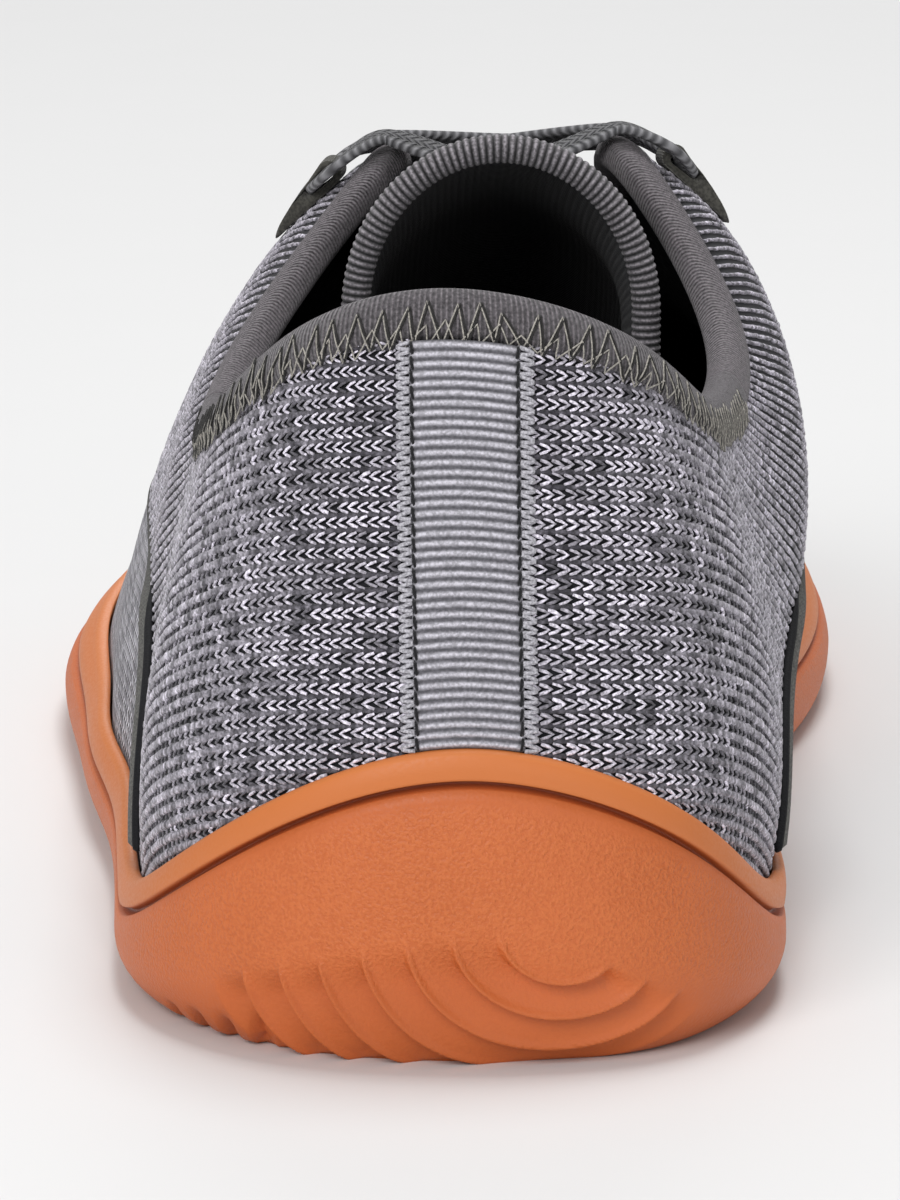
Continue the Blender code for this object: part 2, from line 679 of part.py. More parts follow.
def make_loop(side, row, finish):
    """Webbing folded round an eye for the lace, flatter at its sewn end."""
    seat, along, upward, out = loop_seat(side, row)
    outer = loop_outline(LOOP_LENGTH / 2, LOOP_HEIGHT / 2)
    outer[:, 1] += LOOP_HEIGHT / 2
    outer[:, 1] *= LOOP_TAIL + (1 - LOOP_TAIL) * (0.5 + outer[:, 0] / LOOP_LENGTH)
    inner = loop_outline(LOOP_EYE_LENGTH / 2, LOOP_EYE_HEIGHT / 2) + (LOOP_EYE_UP, LOOP_EYE_OUT)
    middle = seat + GAP * out
    side_step = LOOP_WIDTH / 2 * along
    rings = []
    for outline, shift in ((outer, -1), (outer, 1), (inner, 1), (inner, -1)):
        section = outline[:, :1] * upward + outline[:, 1:] * out
        rings.append(middle + section + shift * side_step)
    faces = ring_faces(len(rings), LOOP_CORNERS, closed_section=True)
    return add_object(f"lace_loop_{side}_{row + 1}", np.concatenate(rings), faces, finish)


def throat_edge(side, y, raised):
    """Place for the lace above the throat's edge, and the direction its flat side faces."""
    u = np.atleast_1d(place_by_edge("top_y", side, y))
    frame = upper_frame(u, rib_t_below_top(u, LACE_EDGE_IN))
    point, _, _, out = (part[0] for part in frame)
    return point + (LACE_RIDE + raised) * out, out


def lace_stations(first_side, raised):
    """One strand from the lowest bar up to the highest.

    Each station has its point, the way the lace's flat side faces, and its share of the full width.
    """
    other = {"medial": "lateral", "lateral": "medial"}
    half_bunched = (1 + LACE_BUNCHED) / 2
    stations = []

    def cross(from_side, from_y, to_y, shares, sag=0.0):
        for share in shares:
            y = from_y + (to_y - from_y) * share
            ends = [throat_edge(side, y, raised) for side in (from_side, other[from_side])]
            point, face = (a + share * (b - a) for a, b in zip(*ends))
            point = point - stack(0, 0, sag * 4 * share * (1 - share))
            width = half_bunched if share in (0.0, 1.0) else 1.0
            stations.append((point, unit(face), width))

    side = first_side
    low_y = LOOP_FIRST_Y + LACE_RUN_OUT
    cross(other[side], low_y, low_y, LACE_FIRST_BAR)
    for row in range(LOOP_ROWS):
        seat, along, upward, out = loop_seat(side, row)
        ankleward = -along if side == "medial" else along
        middle = seat + (GAP + LOOP_EYE_OUT) * out + LOOP_EYE_UP * upward
        mouth = LOOP_WIDTH / 2
        turn = mouth + LACE_TURN
        for run, rise in ((-turn, LACE_TURN), (-mouth, 0.0), (mouth, 0.0), (turn, LACE_TURN)):
            stations.append((middle + run * ankleward + rise * upward, out, LACE_BUNCHED))
        if row < LOOP_ROWS - 1:
            leave_y = row_y(row) - LACE_RUN_OUT
            arrive_y = row_y(row + 1) + LACE_RUN_OUT
            cross(side, leave_y, arrive_y, LACE_CROSSING)
            side = other[side]
    high_y = LOOP_LAST_Y - LACE_TOP_RUN
    cross(side, high_y, high_y, LACE_LAST_BAR, LACE_SAG)
    return stations


def smooth_path(points):
    """Curve through points that keeps each stretch close to its chord."""
    points = np.asarray(points)
    before = np.concatenate([points[:1], points[:-1]])
    after = np.concatenate([points[1:], points[-1:]])
    slope = (after - before) * LACE_TIGHTNESS
    far = np.linspace(0, 1, LACE_PARTS, endpoint=False)[:, None]
    near = 1 - far
    stretches = [
        near**2 * (1 + 2 * far) * points[k] + far**2 * (1 + 2 * near) * points[k + 1]
        + near**2 * far * slope[k] - near * far**2 * slope[k + 1]
        for k in range(len(points) - 1)
    ]
    return np.concatenate(stretches + [points[-1:]])


def make_strand(name, first_side, raised, finish):
    """Flat lace of one width, gathered where a loop holds it."""
    stations = lace_stations(first_side, raised)
    path = smooth_path([point for point, _, _ in stations])
    face = unit(smooth_path([way for _, way, _ in stations]))
    half = smooth_path([[width * LACE_WIDTH / 2] for _, _, width in stations])
    along = unit(np.gradient(path, axis=0))
    wide = unit(np.cross(along, face))
    face = np.cross(wide, along)
    thick = LACE_THICKNESS / 2
    outline = ((-1, thick), (1, thick), (1, -thick), (-1, -thick))
    loops = [path + a * half * wide + b * face for a, b in outline]
    return tube_solid(name, np.stack(loops, axis=1), finish)


def make_lace(finish):
    """Two strands that cross between the rows and meet in a bar at each end."""
    lace = make_strand("lace", "lateral", 0.0, finish)
    second = make_strand("lace_second_strand", "medial", LACE_STEP, finish)
    second.hide_render = True
    second.display_type = "WIRE"
    join = lace.modifiers.new("second_strand", "BOOLEAN")
    join.operation = "UNION"
    join.object = second
    return lace


def main():
    clear_scene()
    ring = ring_samples()
    make_outsole(ring, material("gum_rubber", GUM, 0.55))
    make_upper(ring, material("knit", KNIT, 0.9))
    make_insole(ring, material("footbed", LINING, 0.9))
    elastic = material("elastic_tape", DARK_ELASTIC, 0.8)
    collar, throat = binding_places(ring)
    make_binding("collar_binding", collar, elastic)
    make_binding("throat_binding", throat, elastic)
    make_tongue(material("tongue_lining", LINING, 0.9))
    make_tongue_roll(material("elastic_roll", DARK_ELASTIC, 0.8))
    make_heel_tape(material("ribbed_tape", TAPE_GREY, 0.7))
    band = material("overlay_band", WEBBING, 0.7)
    webbing = material("webbing", WEBBING, 0.8)
    for side in ("medial", "lateral"):
        make_side_band(side, band)
        for row in range(LOOP_ROWS):
            make_loop(side, row, webbing)
    make_lace(material("braided_lace", LACE_GREY, 0.8))


main()
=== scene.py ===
import math

import bmesh
import bpy
import numpy as np
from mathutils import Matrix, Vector


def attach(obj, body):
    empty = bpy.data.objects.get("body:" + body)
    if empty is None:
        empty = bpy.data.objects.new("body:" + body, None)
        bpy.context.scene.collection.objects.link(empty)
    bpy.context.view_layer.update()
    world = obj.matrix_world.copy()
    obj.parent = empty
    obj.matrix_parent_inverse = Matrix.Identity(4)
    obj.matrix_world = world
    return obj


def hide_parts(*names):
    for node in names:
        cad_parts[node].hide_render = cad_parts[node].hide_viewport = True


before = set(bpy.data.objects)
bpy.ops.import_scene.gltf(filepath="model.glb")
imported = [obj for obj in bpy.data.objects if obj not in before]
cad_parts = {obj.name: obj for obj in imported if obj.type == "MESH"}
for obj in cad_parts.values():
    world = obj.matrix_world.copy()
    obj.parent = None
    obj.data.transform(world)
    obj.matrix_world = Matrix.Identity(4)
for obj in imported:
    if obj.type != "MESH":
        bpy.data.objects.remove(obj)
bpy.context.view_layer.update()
print("frame loaded:", len(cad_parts), "nodes")

# the last and the sole in millimetres, y counted from the back of the heel
last = {
    "heelReach": 46.0, "gap": 0.3, "upperWall": 2.2, "solePlate": 5.5, "insole": 3.2,
    "archLift": 2.0, "archMiddle": 112.0, "archReach": 34.0, "archHalfWidth": 30.0, "archOuterShare": 0.4,
    "toeSpring": 8.0, "springStart": 188.0, "springEnd": 262.0,
    "bindingHeight": 5.0, "widestShare": 0.45, "ringNudge": 0.05, "ribNudge": 0.002,
}
# how finely places are searched for, and what counts as one point or as no edge, in metres
meshing = {"halvings": 20, "edgePlaces": 400, "weld": 2e-7, "noEdge": 1e-8}
# ring of ribs from the heel round the inner side: sole edge, rim height, top edge, and how the rib swells
stationColumns = (
    "edgeX", "edgeY", "rimZ", "floorIn", "footIn",
    "topX", "topY", "topZ", "belly", "rise", "shoulder", "drop",
)
stations = {
    "heelBack": (0, 0, 34.6, 6, 7, -1, 11.5, 82, 9, 22, 6, 24),
    "heelMedialBack": (22, 6.5, 27.2, 6, 7, 15.8, 18, 76.4, 9, 22, 6, 24),
    "heelMedial": (32.3, 24, 16, 6, 6, 23.5, 34, 67.7, 8, 20, 6, 20),
    "ankleMedial": (34.8, 50, 10.8, 5, 2.8, 26.8, 53, 63.4, 6.1, 20.6, 4.1, 17.7),
    "collarLowMedial": (33.8, 78, 11.2, 4, 4, 28.4, 72, 62.6, 9.2, 16, 10.2, 16.4),
    "archMedial": (32.5, 104, 12, 4, 3.1, 26, 92, 69.8, 12.6, 26.4, 18, 9.6),
    "facingTopMedial": (34.5, 128, 12.5, 4, 3.9, 16.5, 112, 82.2, 14.4, 31.9, 23.4, 7),
    "waistFrontMedial": (40, 150, 13, 3.5, 5.5, 16, 128, 77.8, 13, 30, 21, 9),
    "ballMedial": (46, 182, 13, 3, 6, 15, 150, 67, 6, 25, 20, 8),
    "bigToe": (45, 224, 15, 5, 6.5, 12.5, 168, 58.5, 6, 25, 30, 6),
    "toeMedial": (35.5, 249, 19, 7, 7, 8, 176, 55, 5, 25, 40, 5),
    "toeTip": (13, 262, 23, 8, 7, 3, 178.5, 54, 5, 26, 47, 4),
    "toeLateral": (-15, 253, 20, 7, 7, -2, 176, 54.5, 5, 25, 42, 5),
    "littleToe": (-39.5, 226, 15, 5, 6, -7, 167, 58, 4, 20, 30, 7),
    "ballLateral": (-51, 174, 13, 3, 5, -9, 148, 66.5, 0, 15, 18, 12),
    "midLateral": (-48, 138, 12.5, 3.5, 4.6, -9.5, 127, 76, 1.6, 18.7, 23.1, 10.5),
    "facingTopLateral": (-45.4, 112, 12, 4, 3, -9, 112, 80.8, -0.6, 23, 24, 9.8),
    "archLateral": (-42.5, 92, 11.5, 4, 2.8, -21.5, 92, 68, -2.2, 23, 16.5, 12),
    "collarLowLateral": (-40.7, 72, 11.2, 4.5, 2.5, -28.5, 71, 60.4, -0.3, 17.5, 6, 15.6),
    "ankleLateral": (-39.7, 50, 10.8, 5, 3.3, -28, 53, 62, 1.4, 17.2, 5.9, 17.2),
    "heelLateral": (-36, 24, 16, 6, 6, -25.2, 33, 68.2, 8, 20, 6, 20),
    "heelLateralBack": (-23, 6.5, 27.2, 6, 7, -17, 17, 77.8, 9, 22, 6, 24),
}
sides = ("medial", "lateral")


# distances between neighbouring stations, added up round the ring
def chordKnots(points):
    steps = np.linalg.norm(np.diff(points, axis=0, append=points[:1]), axis=1)
    return np.concatenate([[0], np.cumsum(steps)])


# periodic cubic through one row of values per knot, its bends solved from equal slopes at each knot
def closedSpline(knots, values):
    step = np.diff(knots)
    count = len(step)
    before = np.roll(step, 1)
    slope = (np.roll(values, -1, axis=0) - values) / step[:, None]
    system = np.diag(2 * (before + step))
    rows = np.arange(count)
    system[rows, (rows + 1) % count] += step
    system[rows, (rows - 1) % count] += before
    bend = np.linalg.solve(system, 6 * (slope - np.roll(slope, 1, axis=0)))

    def at(u):
        u = np.mod(u, knots[-1])
        left = np.clip(np.searchsorted(knots, u, side="right") - 1, 0, count - 1)
        right = (left + 1) % count
        far = ((u - knots[left]) / step[left])[..., None]
        near = 1 - far
        curve = (near**3 - near) * bend[left] + (far**3 - far) * bend[right]
        return near * values[left] + far * values[right] + curve * step[left][..., None]**2 / 6

    return at


stationTable = np.array(list(stations.values()), float)
stationKnots = chordKnots(stationTable[:, :2])
ringLength = stationKnots[-1]
toeU = stationKnots[list(stations).index("toeTip")]
ringValues = closedSpline(stationKnots, stationTable)


def stationsAt(u):
    return dict(zip(stationColumns, np.moveaxis(ringValues(u), -1, 0)))


def stack(x, y, z):
    return np.stack(np.broadcast_arrays(x, y, z), axis=-1).astype(float)


# two measures as one map over a grid
def pairMap(first, second):
    return np.stack(np.broadcast_arrays(first, second), axis=-1)


# distances between neighbouring points, added up along one axis of their grid
def runAlong(points, axis=0):
    steps = np.linalg.norm(np.diff(points, axis=axis), axis=-1)
    start = np.zeros_like(np.take(steps, [0], axis=axis))
    return np.concatenate([start, np.cumsum(steps, axis=axis)], axis=axis)


# rows of values read between their places, column by column
def readBetween(at, places, rows):
    return np.stack([np.interp(at, places, column) for column in rows.T], axis=-1)


def unit(vectors):
    return vectors / np.linalg.norm(vectors, axis=-1, keepdims=True)


# 0 below low, 1 above high, and a smooth S between them
def smoothStep(value, low, high):
    share = np.clip((value - low) / (high - low), 0, 1)
    return share * share * (3 - 2 * share)


# level direction square to the sole's widest line
def outward(u):
    along = unit(ringValues(u + last["ringNudge"])[..., :2] - ringValues(u - last["ringNudge"])[..., :2])
    return stack(along[..., 1], -along[..., 0], 0)


# underside above the floor: a low arch, higher on the inner side, and a toe that rises as a parabola
def lift(x, y):
    arch = np.clip(1 - ((y - last["archMiddle"]) / last["archReach"])**2, 0, 1)**2
    inner = (1 + np.clip(x / last["archHalfWidth"], -1, 1)) / 2
    sideShare = last["archOuterShare"] + (1 - last["archOuterShare"]) * inner
    spring = np.maximum(y - last["springStart"], 0) / (last["springEnd"] - last["springStart"])
    return last["archLift"] * arch * sideShare + last["toeSpring"] * spring**2


# the four points of each rib: foot inside the sole's edge, swell above it, shoulder under the top, top edge
def ribControls(u):
    row = stationsAt(u)
    out = outward(u)
    foot = stack(row["edgeX"], row["edgeY"], 0) - row["footIn"][..., None] * out
    foot[..., 2] = last["solePlate"] + last["gap"] + lift(foot[..., 0], foot[..., 1])
    top = stack(row["topX"], row["topY"], row["topZ"])
    low = foot + row["belly"][..., None] * out + stack(0, 0, row["rise"])
    high = top + row["shoulder"][..., None] * out - stack(0, 0, row["drop"])
    return foot, low, high, top


# cubic blend of the rib's four points at share t
def upperPoints(u, t):
    u, t = np.broadcast_arrays(np.asarray(u, float), np.asarray(t, float))
    foot, low, high, top = ribControls(u)
    far = t[..., None]
    near = 1 - far
    return near**3 * foot + 3 * near**2 * far * low + 3 * near * far**2 * high + far**3 * top


# point, direction round the ring, direction up the rib, and the normal as their cross product
def upperFrame(u, t):
    ringStep = last["ringNudge"]
    ribStep = last["ribNudge"]
    roundRing = unit(upperPoints(u + ringStep, t) - upperPoints(u - ringStep, t))
    upRib = unit(upperPoints(u, t + ribStep) - upperPoints(u, t - ribStep))
    return upperPoints(u, t), roundRing, upRib, unit(np.cross(roundRing, upRib))


# a point of the upper moved out along its normal
def onUpper(u, t, offset):
    point, _, _, normal = upperFrame(u, t)
    return point + np.asarray(offset, float)[..., None] * normal


# share of the rib at a height, by halving the rib again and again
def ribTAtHeight(u, height):
    low = np.zeros(np.shape(u))
    high = np.ones(np.shape(u))
    for _ in range(meshing["halvings"]):
        middle = (low + high) / 2
        under = upperPoints(u, middle)[..., 2] < height
        low = np.where(under, middle, low)
        high = np.where(under, high, middle)
    return (low + high) / 2


# share of the rib at a distance down from its top, along its last stretch
def ribTBelowTop(u, distance):
    _, _, high, top = ribControls(u)
    return 1 - distance / (3 * np.linalg.norm(top - high, axis=-1))


# the same share of the way from heel to toe on the other side
def partnerU(u):
    lateralLength = ringLength - toeU
    fromMedial = ringLength - u / toeU * lateralLength
    return np.where(u <= toeU, fromMedial, (ringLength - u) / lateralLength * toeU)


# how far a place on the ring is from the heel, on its own side
def fromHeel(u):
    return np.minimum(np.mod(u, ringLength), ringLength - np.mod(u, ringLength))


# place on one side of the ring where a station column reaches y
def placeByEdge(column, side, y):
    heelU = 0 if side == "medial" else ringLength
    fine = np.linspace(heelU, toeU, meshing["edgePlaces"])
    return np.interp(y, np.maximum.accumulate(stationsAt(fine)[column]), fine)


# places round the ring, close together round the heel, paired across the shoe; the last repeats the first
def ringColumns(heelStretch, heelStep, sideStep):
    heel = np.arange(0, heelStretch, heelStep)
    side = np.linspace(heelStretch, toeU, round((toeU - heelStretch) / sideStep) + 1)
    medial = np.concatenate([heel, side])
    return np.concatenate([medial, partnerU(medial[-2::-1])])


# quads over a grid of points, closed round its columns or rows where asked
def gridFaces(rows, cols, closeRows=False, closeCols=False):
    r = np.arange(rows if closeRows else rows - 1)[:, None]
    c = np.arange(cols if closeCols else cols - 1)[None, :]
    nextRow = (r + 1) % rows
    nextCol = (c + 1) % cols
    corners = (r * cols + c, r * cols + nextCol, nextRow * cols + nextCol, nextRow * cols + c)
    return np.stack(np.broadcast_arrays(*corners), axis=-1).reshape(-1, 4)


# one object from points in millimetres and quads, with a cloth map in millimetres and named point values
def addPiece(name, points, faces, finishes, cloth=None, values=None, faceFinish=None, nodes=()):
    placed = (np.asarray(points, float).reshape(-1, 3) - (0, last["heelReach"], 0)) * 0.001
    mesh = bpy.data.meshes.new(name)
    mesh.vertices.add(len(placed))
    mesh.vertices.foreach_set("co", placed.astype(np.float32).ravel())
    mesh.loops.add(faces.size)
    mesh.loops.foreach_set("vertex_index", faces.astype(np.int32).ravel())
    mesh.polygons.add(len(faces))
    mesh.polygons.foreach_set("loop_start", np.arange(0, faces.size, 4, dtype=np.int32))
    if faceFinish is not None:
        mesh.polygons.foreach_set("material_index", faceFinish.astype(np.int32))
    mesh.update(calc_edges=True)
    if cloth is not None:
        layer = mesh.uv_layers.new(name="cloth")
        layer.data.foreach_set("uv", np.asarray(cloth, np.float32).reshape(-1, 2)[faces.ravel()].ravel())
    for key, value in (values or {}).items():
        attribute = mesh.attributes.new(key, "FLOAT", "POINT")
        attribute.data.foreach_set("value", np.asarray(value, np.float32).ravel())
    work = bmesh.new()
    work.from_mesh(mesh)
    bmesh.ops.remove_doubles(work, verts=work.verts, dist=meshing["weld"])
    bmesh.ops.dissolve_degenerate(work, edges=work.edges, dist=meshing["noEdge"])
    bmesh.ops.recalc_face_normals(work, faces=work.faces)
    work.to_mesh(mesh)
    work.free()
    mesh.shade_smooth()
    for finish in finishes:
        mesh.materials.append(finish)
    piece = bpy.data.objects.new(name, mesh)
    bpy.context.scene.collection.objects.link(piece)
    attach(piece, "root")
    if nodes:
        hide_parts(*nodes)


# quads of tubes that all have the same number of sections and corners, with flat ends
def tubeFaces(tubes, sections, corners):
    wall = gridFaces(sections, corners, closeCols=True)
    half = corners // 2
    steps = np.arange(half - 1)
    cap = np.stack([steps, steps + 1, corners - 2 - steps, corners - 1 - steps], axis=-1)
    endRing = (sections - 1) * corners
    one = np.concatenate([wall, cap[:, ::-1], cap + endRing])
    return (one[None] + (np.arange(tubes) * sections * corners)[:, None, None]).reshape(-1, 4)


# a round section carried along a path: points, two square directions and two half widths
def tubePoints(path, first, second, halfFirst, halfSecond, corners):
    angle = np.linspace(0, 2 * np.pi, corners, endpoint=False)
    wide = np.cos(angle)[:, None] * first[..., None, :] * np.asarray(halfFirst)[..., None, None]
    thick = np.sin(angle)[:, None] * second[..., None, :] * np.asarray(halfSecond)[..., None, None]
    return path[..., None, :] + wide + thick


# closed tubes from an array of tubes, sections, corners and 3
def addTubes(name, points, finish, cloth=None, values=None, nodes=()):
    faces = tubeFaces(*points.shape[:3])
    addPiece(name, points, faces, [finish], cloth, values, nodes=nodes)


# a sheet closed at its edges, from its outside and inside points and one cloth map for both
def addSheet(name, outer, inner, finish, cloth, node):
    around = np.concatenate([outer, inner[:, ::-1]], axis=1)
    bothMaps = np.concatenate([cloth, cloth[:, ::-1]], axis=1)
    addTubes(name, around[None], finish, bothMaps, nodes=[node])


# a round thread along each row of places on the upper, some way off it
def addThreads(name, u, t, offset, half, corners, finish):
    path, _, _, normal = upperFrame(u, t)
    path = path + offset[..., None] * normal
    tangent = unit(np.gradient(path, axis=1))
    first = unit(np.cross(normal, tangent))
    half = np.broadcast_to(half, path.shape[:2])
    points = tubePoints(path, first, np.cross(tangent, first), half, half, corners)
    addTubes(name, points, finish)


# cubic stretches through rows of values, each slope a share of the step between the rows beside it
def smoothPath(rows, tightness, parts):
    rows = np.asarray(rows, float)
    before = np.concatenate([rows[:1], rows[:-1]])
    after = np.concatenate([rows[1:], rows[-1:]])
    slope = ((after - before) * tightness)[:, None]
    far = np.linspace(0, 1, parts, endpoint=False)[None, :, None]
    near = 1 - far
    start = rows[:-1, None]
    end = rows[1:, None]
    blend = near**2 * (1 + 2 * far) * start + far**2 * (1 + 2 * near) * end
    blend = blend + near**2 * far * slope[:-1] - near * far**2 * slope[1:]
    return np.concatenate([blend.reshape(-1, rows.shape[1]), rows[-1:]])


# shader nodes: each input is a constant or the socket that feeds it

def addNode(tree, kind, inputs=None, **settings):
    node = tree.nodes.new("ShaderNode" + kind)
    for key, value in settings.items():
        setattr(node, key, value)
    for key, value in (inputs or {}).items():
        if isinstance(value, bpy.types.NodeSocket):
            tree.links.new(value, node.inputs[key])
        else:
            node.inputs[key].default_value = value
    return node


def calc(tree, operation, first, second=0.0, third=0.0):
    return addNode(tree, "Math", {0: first, 1: second, 2: third}, operation=operation).outputs[0]


# a smooth S between two limits, from 0 to 1 or other ends
def mapRange(tree, value, low, high, toLow=0.0, toHigh=1.0):
    names = {"Value": value, "From Min": low, "From Max": high, "To Min": toLow, "To Max": toHigh}
    return addNode(tree, "MapRange", names, interpolation_type="SMOOTHSTEP").outputs["Result"]


def mixColour(tree, share, first, second):
    return addNode(tree, "Mix", {0: share, 6: first, 7: second}, data_type="RGBA").outputs[2]


# noise over the piece's own space
def noiseOver(tree, scale, detail):
    place = addNode(tree, "TexCoord").outputs["Object"]
    return addNode(tree, "TexNoise", {"Vector": place, "Scale": scale, "Detail": detail}).outputs["Fac"]


# how far a measure is from the middle of its cell, 0 to 0.5
def fromMiddle(tree, measure):
    return calc(tree, "ABSOLUTE", calc(tree, "SUBTRACT", calc(tree, "FRACT", measure), 0.5))


def clothMap(tree):
    return addNode(tree, "UVMap", uv_map="cloth").outputs["UV"]


def clothAxes(tree):
    return addNode(tree, "SeparateXYZ", {0: clothMap(tree)}).outputs


def pointValue(tree, name):
    return addNode(tree, "Attribute", attribute_name=name).outputs["Fac"]


def useGroup(tree, group, inputs):
    return addNode(tree, "Group", inputs, node_tree=group).outputs


def newGroup(name, inputs, outputs):
    group = bpy.data.node_groups.new(name, "ShaderNodeTree")
    for socketName, kind, value in inputs:
        socket = group.interface.new_socket(socketName, in_out="INPUT", socket_type="NodeSocket" + kind)
        if value is not None:
            socket.default_value = value
    for socketName, kind in outputs:
        group.interface.new_socket(socketName, in_out="OUTPUT", socket_type="NodeSocket" + kind)
    start = group.nodes.new("NodeGroupInput")
    end = group.nodes.new("NodeGroupOutput")
    return group, start.outputs, end.inputs


def endGroup(group, result, sockets):
    for name, socket in sockets.items():
        group.links.new(socket, result[name])
    return group


# shares of a stitch's cell where its yarn falls off and its hole opens, and the hole's depth
chevron = {"flank": (0.5, 0.05), "holeInRow": (0.30, 0.12), "holeBeside": (0.18, 0.36), "holeDepth": 0.9}
fleckRange = (0.3, 0.7, 0.0, 1.6)  # noise from and to, brightness from and to


# rows of nested V stitches: stripes along the row bent by the distance from the row's middle
def makeChevronGroup():
    group, given, result = newGroup(
        "chevronStitch",
        (("Place", "Vector", None), ("Stitch", "Float", 1.4), ("Row", "Float", 1.5), ("Slant", "Float", 1.1)),
        (("Height", "Float"), ("Hole", "Float"), ("Tint", "Float")),
    )
    axes = addNode(group, "SeparateXYZ", {0: given["Place"]}).outputs
    across = calc(group, "DIVIDE", axes[0], given["Stitch"])
    upward = calc(group, "DIVIDE", axes[1], given["Row"])
    inRow = fromMiddle(group, upward)
    bent = calc(group, "ADD", across, calc(group, "MULTIPLY", inRow, given["Slant"]))
    beside = fromMiddle(group, bent)
    openRow = mapRange(group, inRow, *chevron["holeInRow"])
    hole = calc(group, "MULTIPLY", openRow, mapRange(group, beside, *chevron["holeBeside"]))
    yarn = mapRange(group, beside, *chevron["flank"])
    height = calc(group, "SUBTRACT", yarn, calc(group, "MULTIPLY", hole, chevron["holeDepth"]))
    cell = addNode(group, "CombineXYZ", {0: calc(group, "FLOOR", bent), 1: calc(group, "FLOOR", upward)})
    flecks = addNode(group, "TexWhiteNoise", {"Vector": cell.outputs[0]}, noise_dimensions="2D")
    return endGroup(group, result, {"Height": height, "Hole": hole, "Tint": flecks.outputs["Value"]})


# parallel ribs: half a cosine wave of the place divided by the pitch
def makeRibGroup():
    group, given, result = newGroup(
        "ribWave", (("Place", "Float", 0.0), ("Pitch", "Float", 1.0)), (("Height", "Float"),)
    )
    turn = calc(group, "MULTIPLY", calc(group, "DIVIDE", given["Place"], given["Pitch"]), 2 * math.pi)
    wave = calc(group, "MULTIPLY_ADD", calc(group, "COSINE", turn), 0.5, 0.5)
    return endGroup(group, result, {"Height": wave})


# yarn flecks: fine noise that lightens and darkens a colour, and a soft bump value
def makeFleckGroup():
    group, given, result = newGroup(
        "yarnFleck",
        (("Colour", "Color", (0.5, 0.5, 0.5, 1)), ("Scale", "Float", 3000.0), ("Amount", "Float", 0.4)),
        (("Colour", "Color"), ("Height", "Float")),
    )
    noise = noiseOver(group, given["Scale"], 2.0)
    bright = {"Color": given["Colour"], "Value": mapRange(group, noise, *fleckRange)}
    flecked = addNode(group, "HueSaturation", bright).outputs["Color"]
    colour = mixColour(group, given["Amount"], given["Colour"], flecked)
    return endGroup(group, result, {"Colour": colour, "Height": noise})


chevronGroup = makeChevronGroup()
ribGroup = makeRibGroup()
fleckGroup = makeFleckGroup()
softSheen = {"Sheen Weight": 0.15, "Sheen Roughness": 0.5}
knitSheen = {"Sheen Weight": 0.2, "Sheen Roughness": 0.5}


def newFinish(name, constants):
    made = bpy.data.materials.new(name)
    made.use_nodes = True
    for key, value in constants.items():
        made.node_tree.nodes["Principled BSDF"].inputs[key].default_value = value
    return made, made.node_tree


# feeds the material's shader: its colour, a bump of some depth in metres, and other inputs by name
def endFinish(made, colour, height=None, depth=0.0, others=None):
    tree = made.node_tree
    feeds = {"Base Color": colour, **(others or {})}
    if height is not None:
        bump = addNode(tree, "Bump", {"Height": height, "Distance": depth, "Strength": 1.0})
        feeds["Normal"] = bump.outputs["Normal"]
    for key, socket in feeds.items():
        tree.links.new(socket, tree.nodes["Principled BSDF"].inputs[key])
    return made


gumLook = {
    # dark and pale are random patches; the band colour is lighter, a painted highlight on the rim band
    "dark": (0.51, 0.117, 0.026, 1), "pale": (0.555, 0.131, 0.032, 1), "band": (0.60, 0.182, 0.046, 1),
    # the last colour on the next line is painted shade for the groove under the rim band
    "fleck": (0.66, 0.185, 0.052, 1), "fleckShare": 0.42, "grooveShade": (0.22, 0.045, 0.014, 1),
    "patchScale": 60.0, "pebbleScale": 2600.0, "pebbleDepth": 0.0002, "gloss": (0.44, 0.58),
    "patchRange": (0.3, 0.7), "fleckRange": (0.35, 0.65), "glossRange": (0.3, 0.7), "bandHighlightRange": (0.0, 0.2),
}
knitLook = {
    "stitch": {"Stitch": 1.5, "Row": 1.55, "Slant": 1.0}, "depth": 0.0005, "seamHalf": 0.6,
    "yarns": ((0.30, 0.29, 0.33, 1), (0.70, 0.68, 0.75, 1)), "between": (0.12, 0.115, 0.135, 1),
    "hole": (0.012, 0.012, 0.016, 1), "ground": (0.010, 0.010, 0.014, 1),
    "tintRange": (0.1, 0.9), "shadeRange": (0.0, 0.8),
}
braidLook = {
    "stitch": {"Stitch": 1.1, "Row": 3.0, "Slant": 1.6}, "edge": (2.1, 2.7), "depth": 0.0003,
    "dark": ((0.012, 0.012, 0.015, 1), (0.060, 0.059, 0.066, 1)),
    "pale": ((0.06, 0.059, 0.064, 1), (0.22, 0.218, 0.23, 1)),
}
liningLook = {"scale": 900.0, "depth": 0.0003, "tones": ((0.004, 0.004, 0.006, 1), (0.012, 0.012, 0.016, 1))}
webbingLook = {"warp": 0.55, "weft": 0.8, "weftShare": 0.6, "fleck": 0.5, "depth": 0.0003}
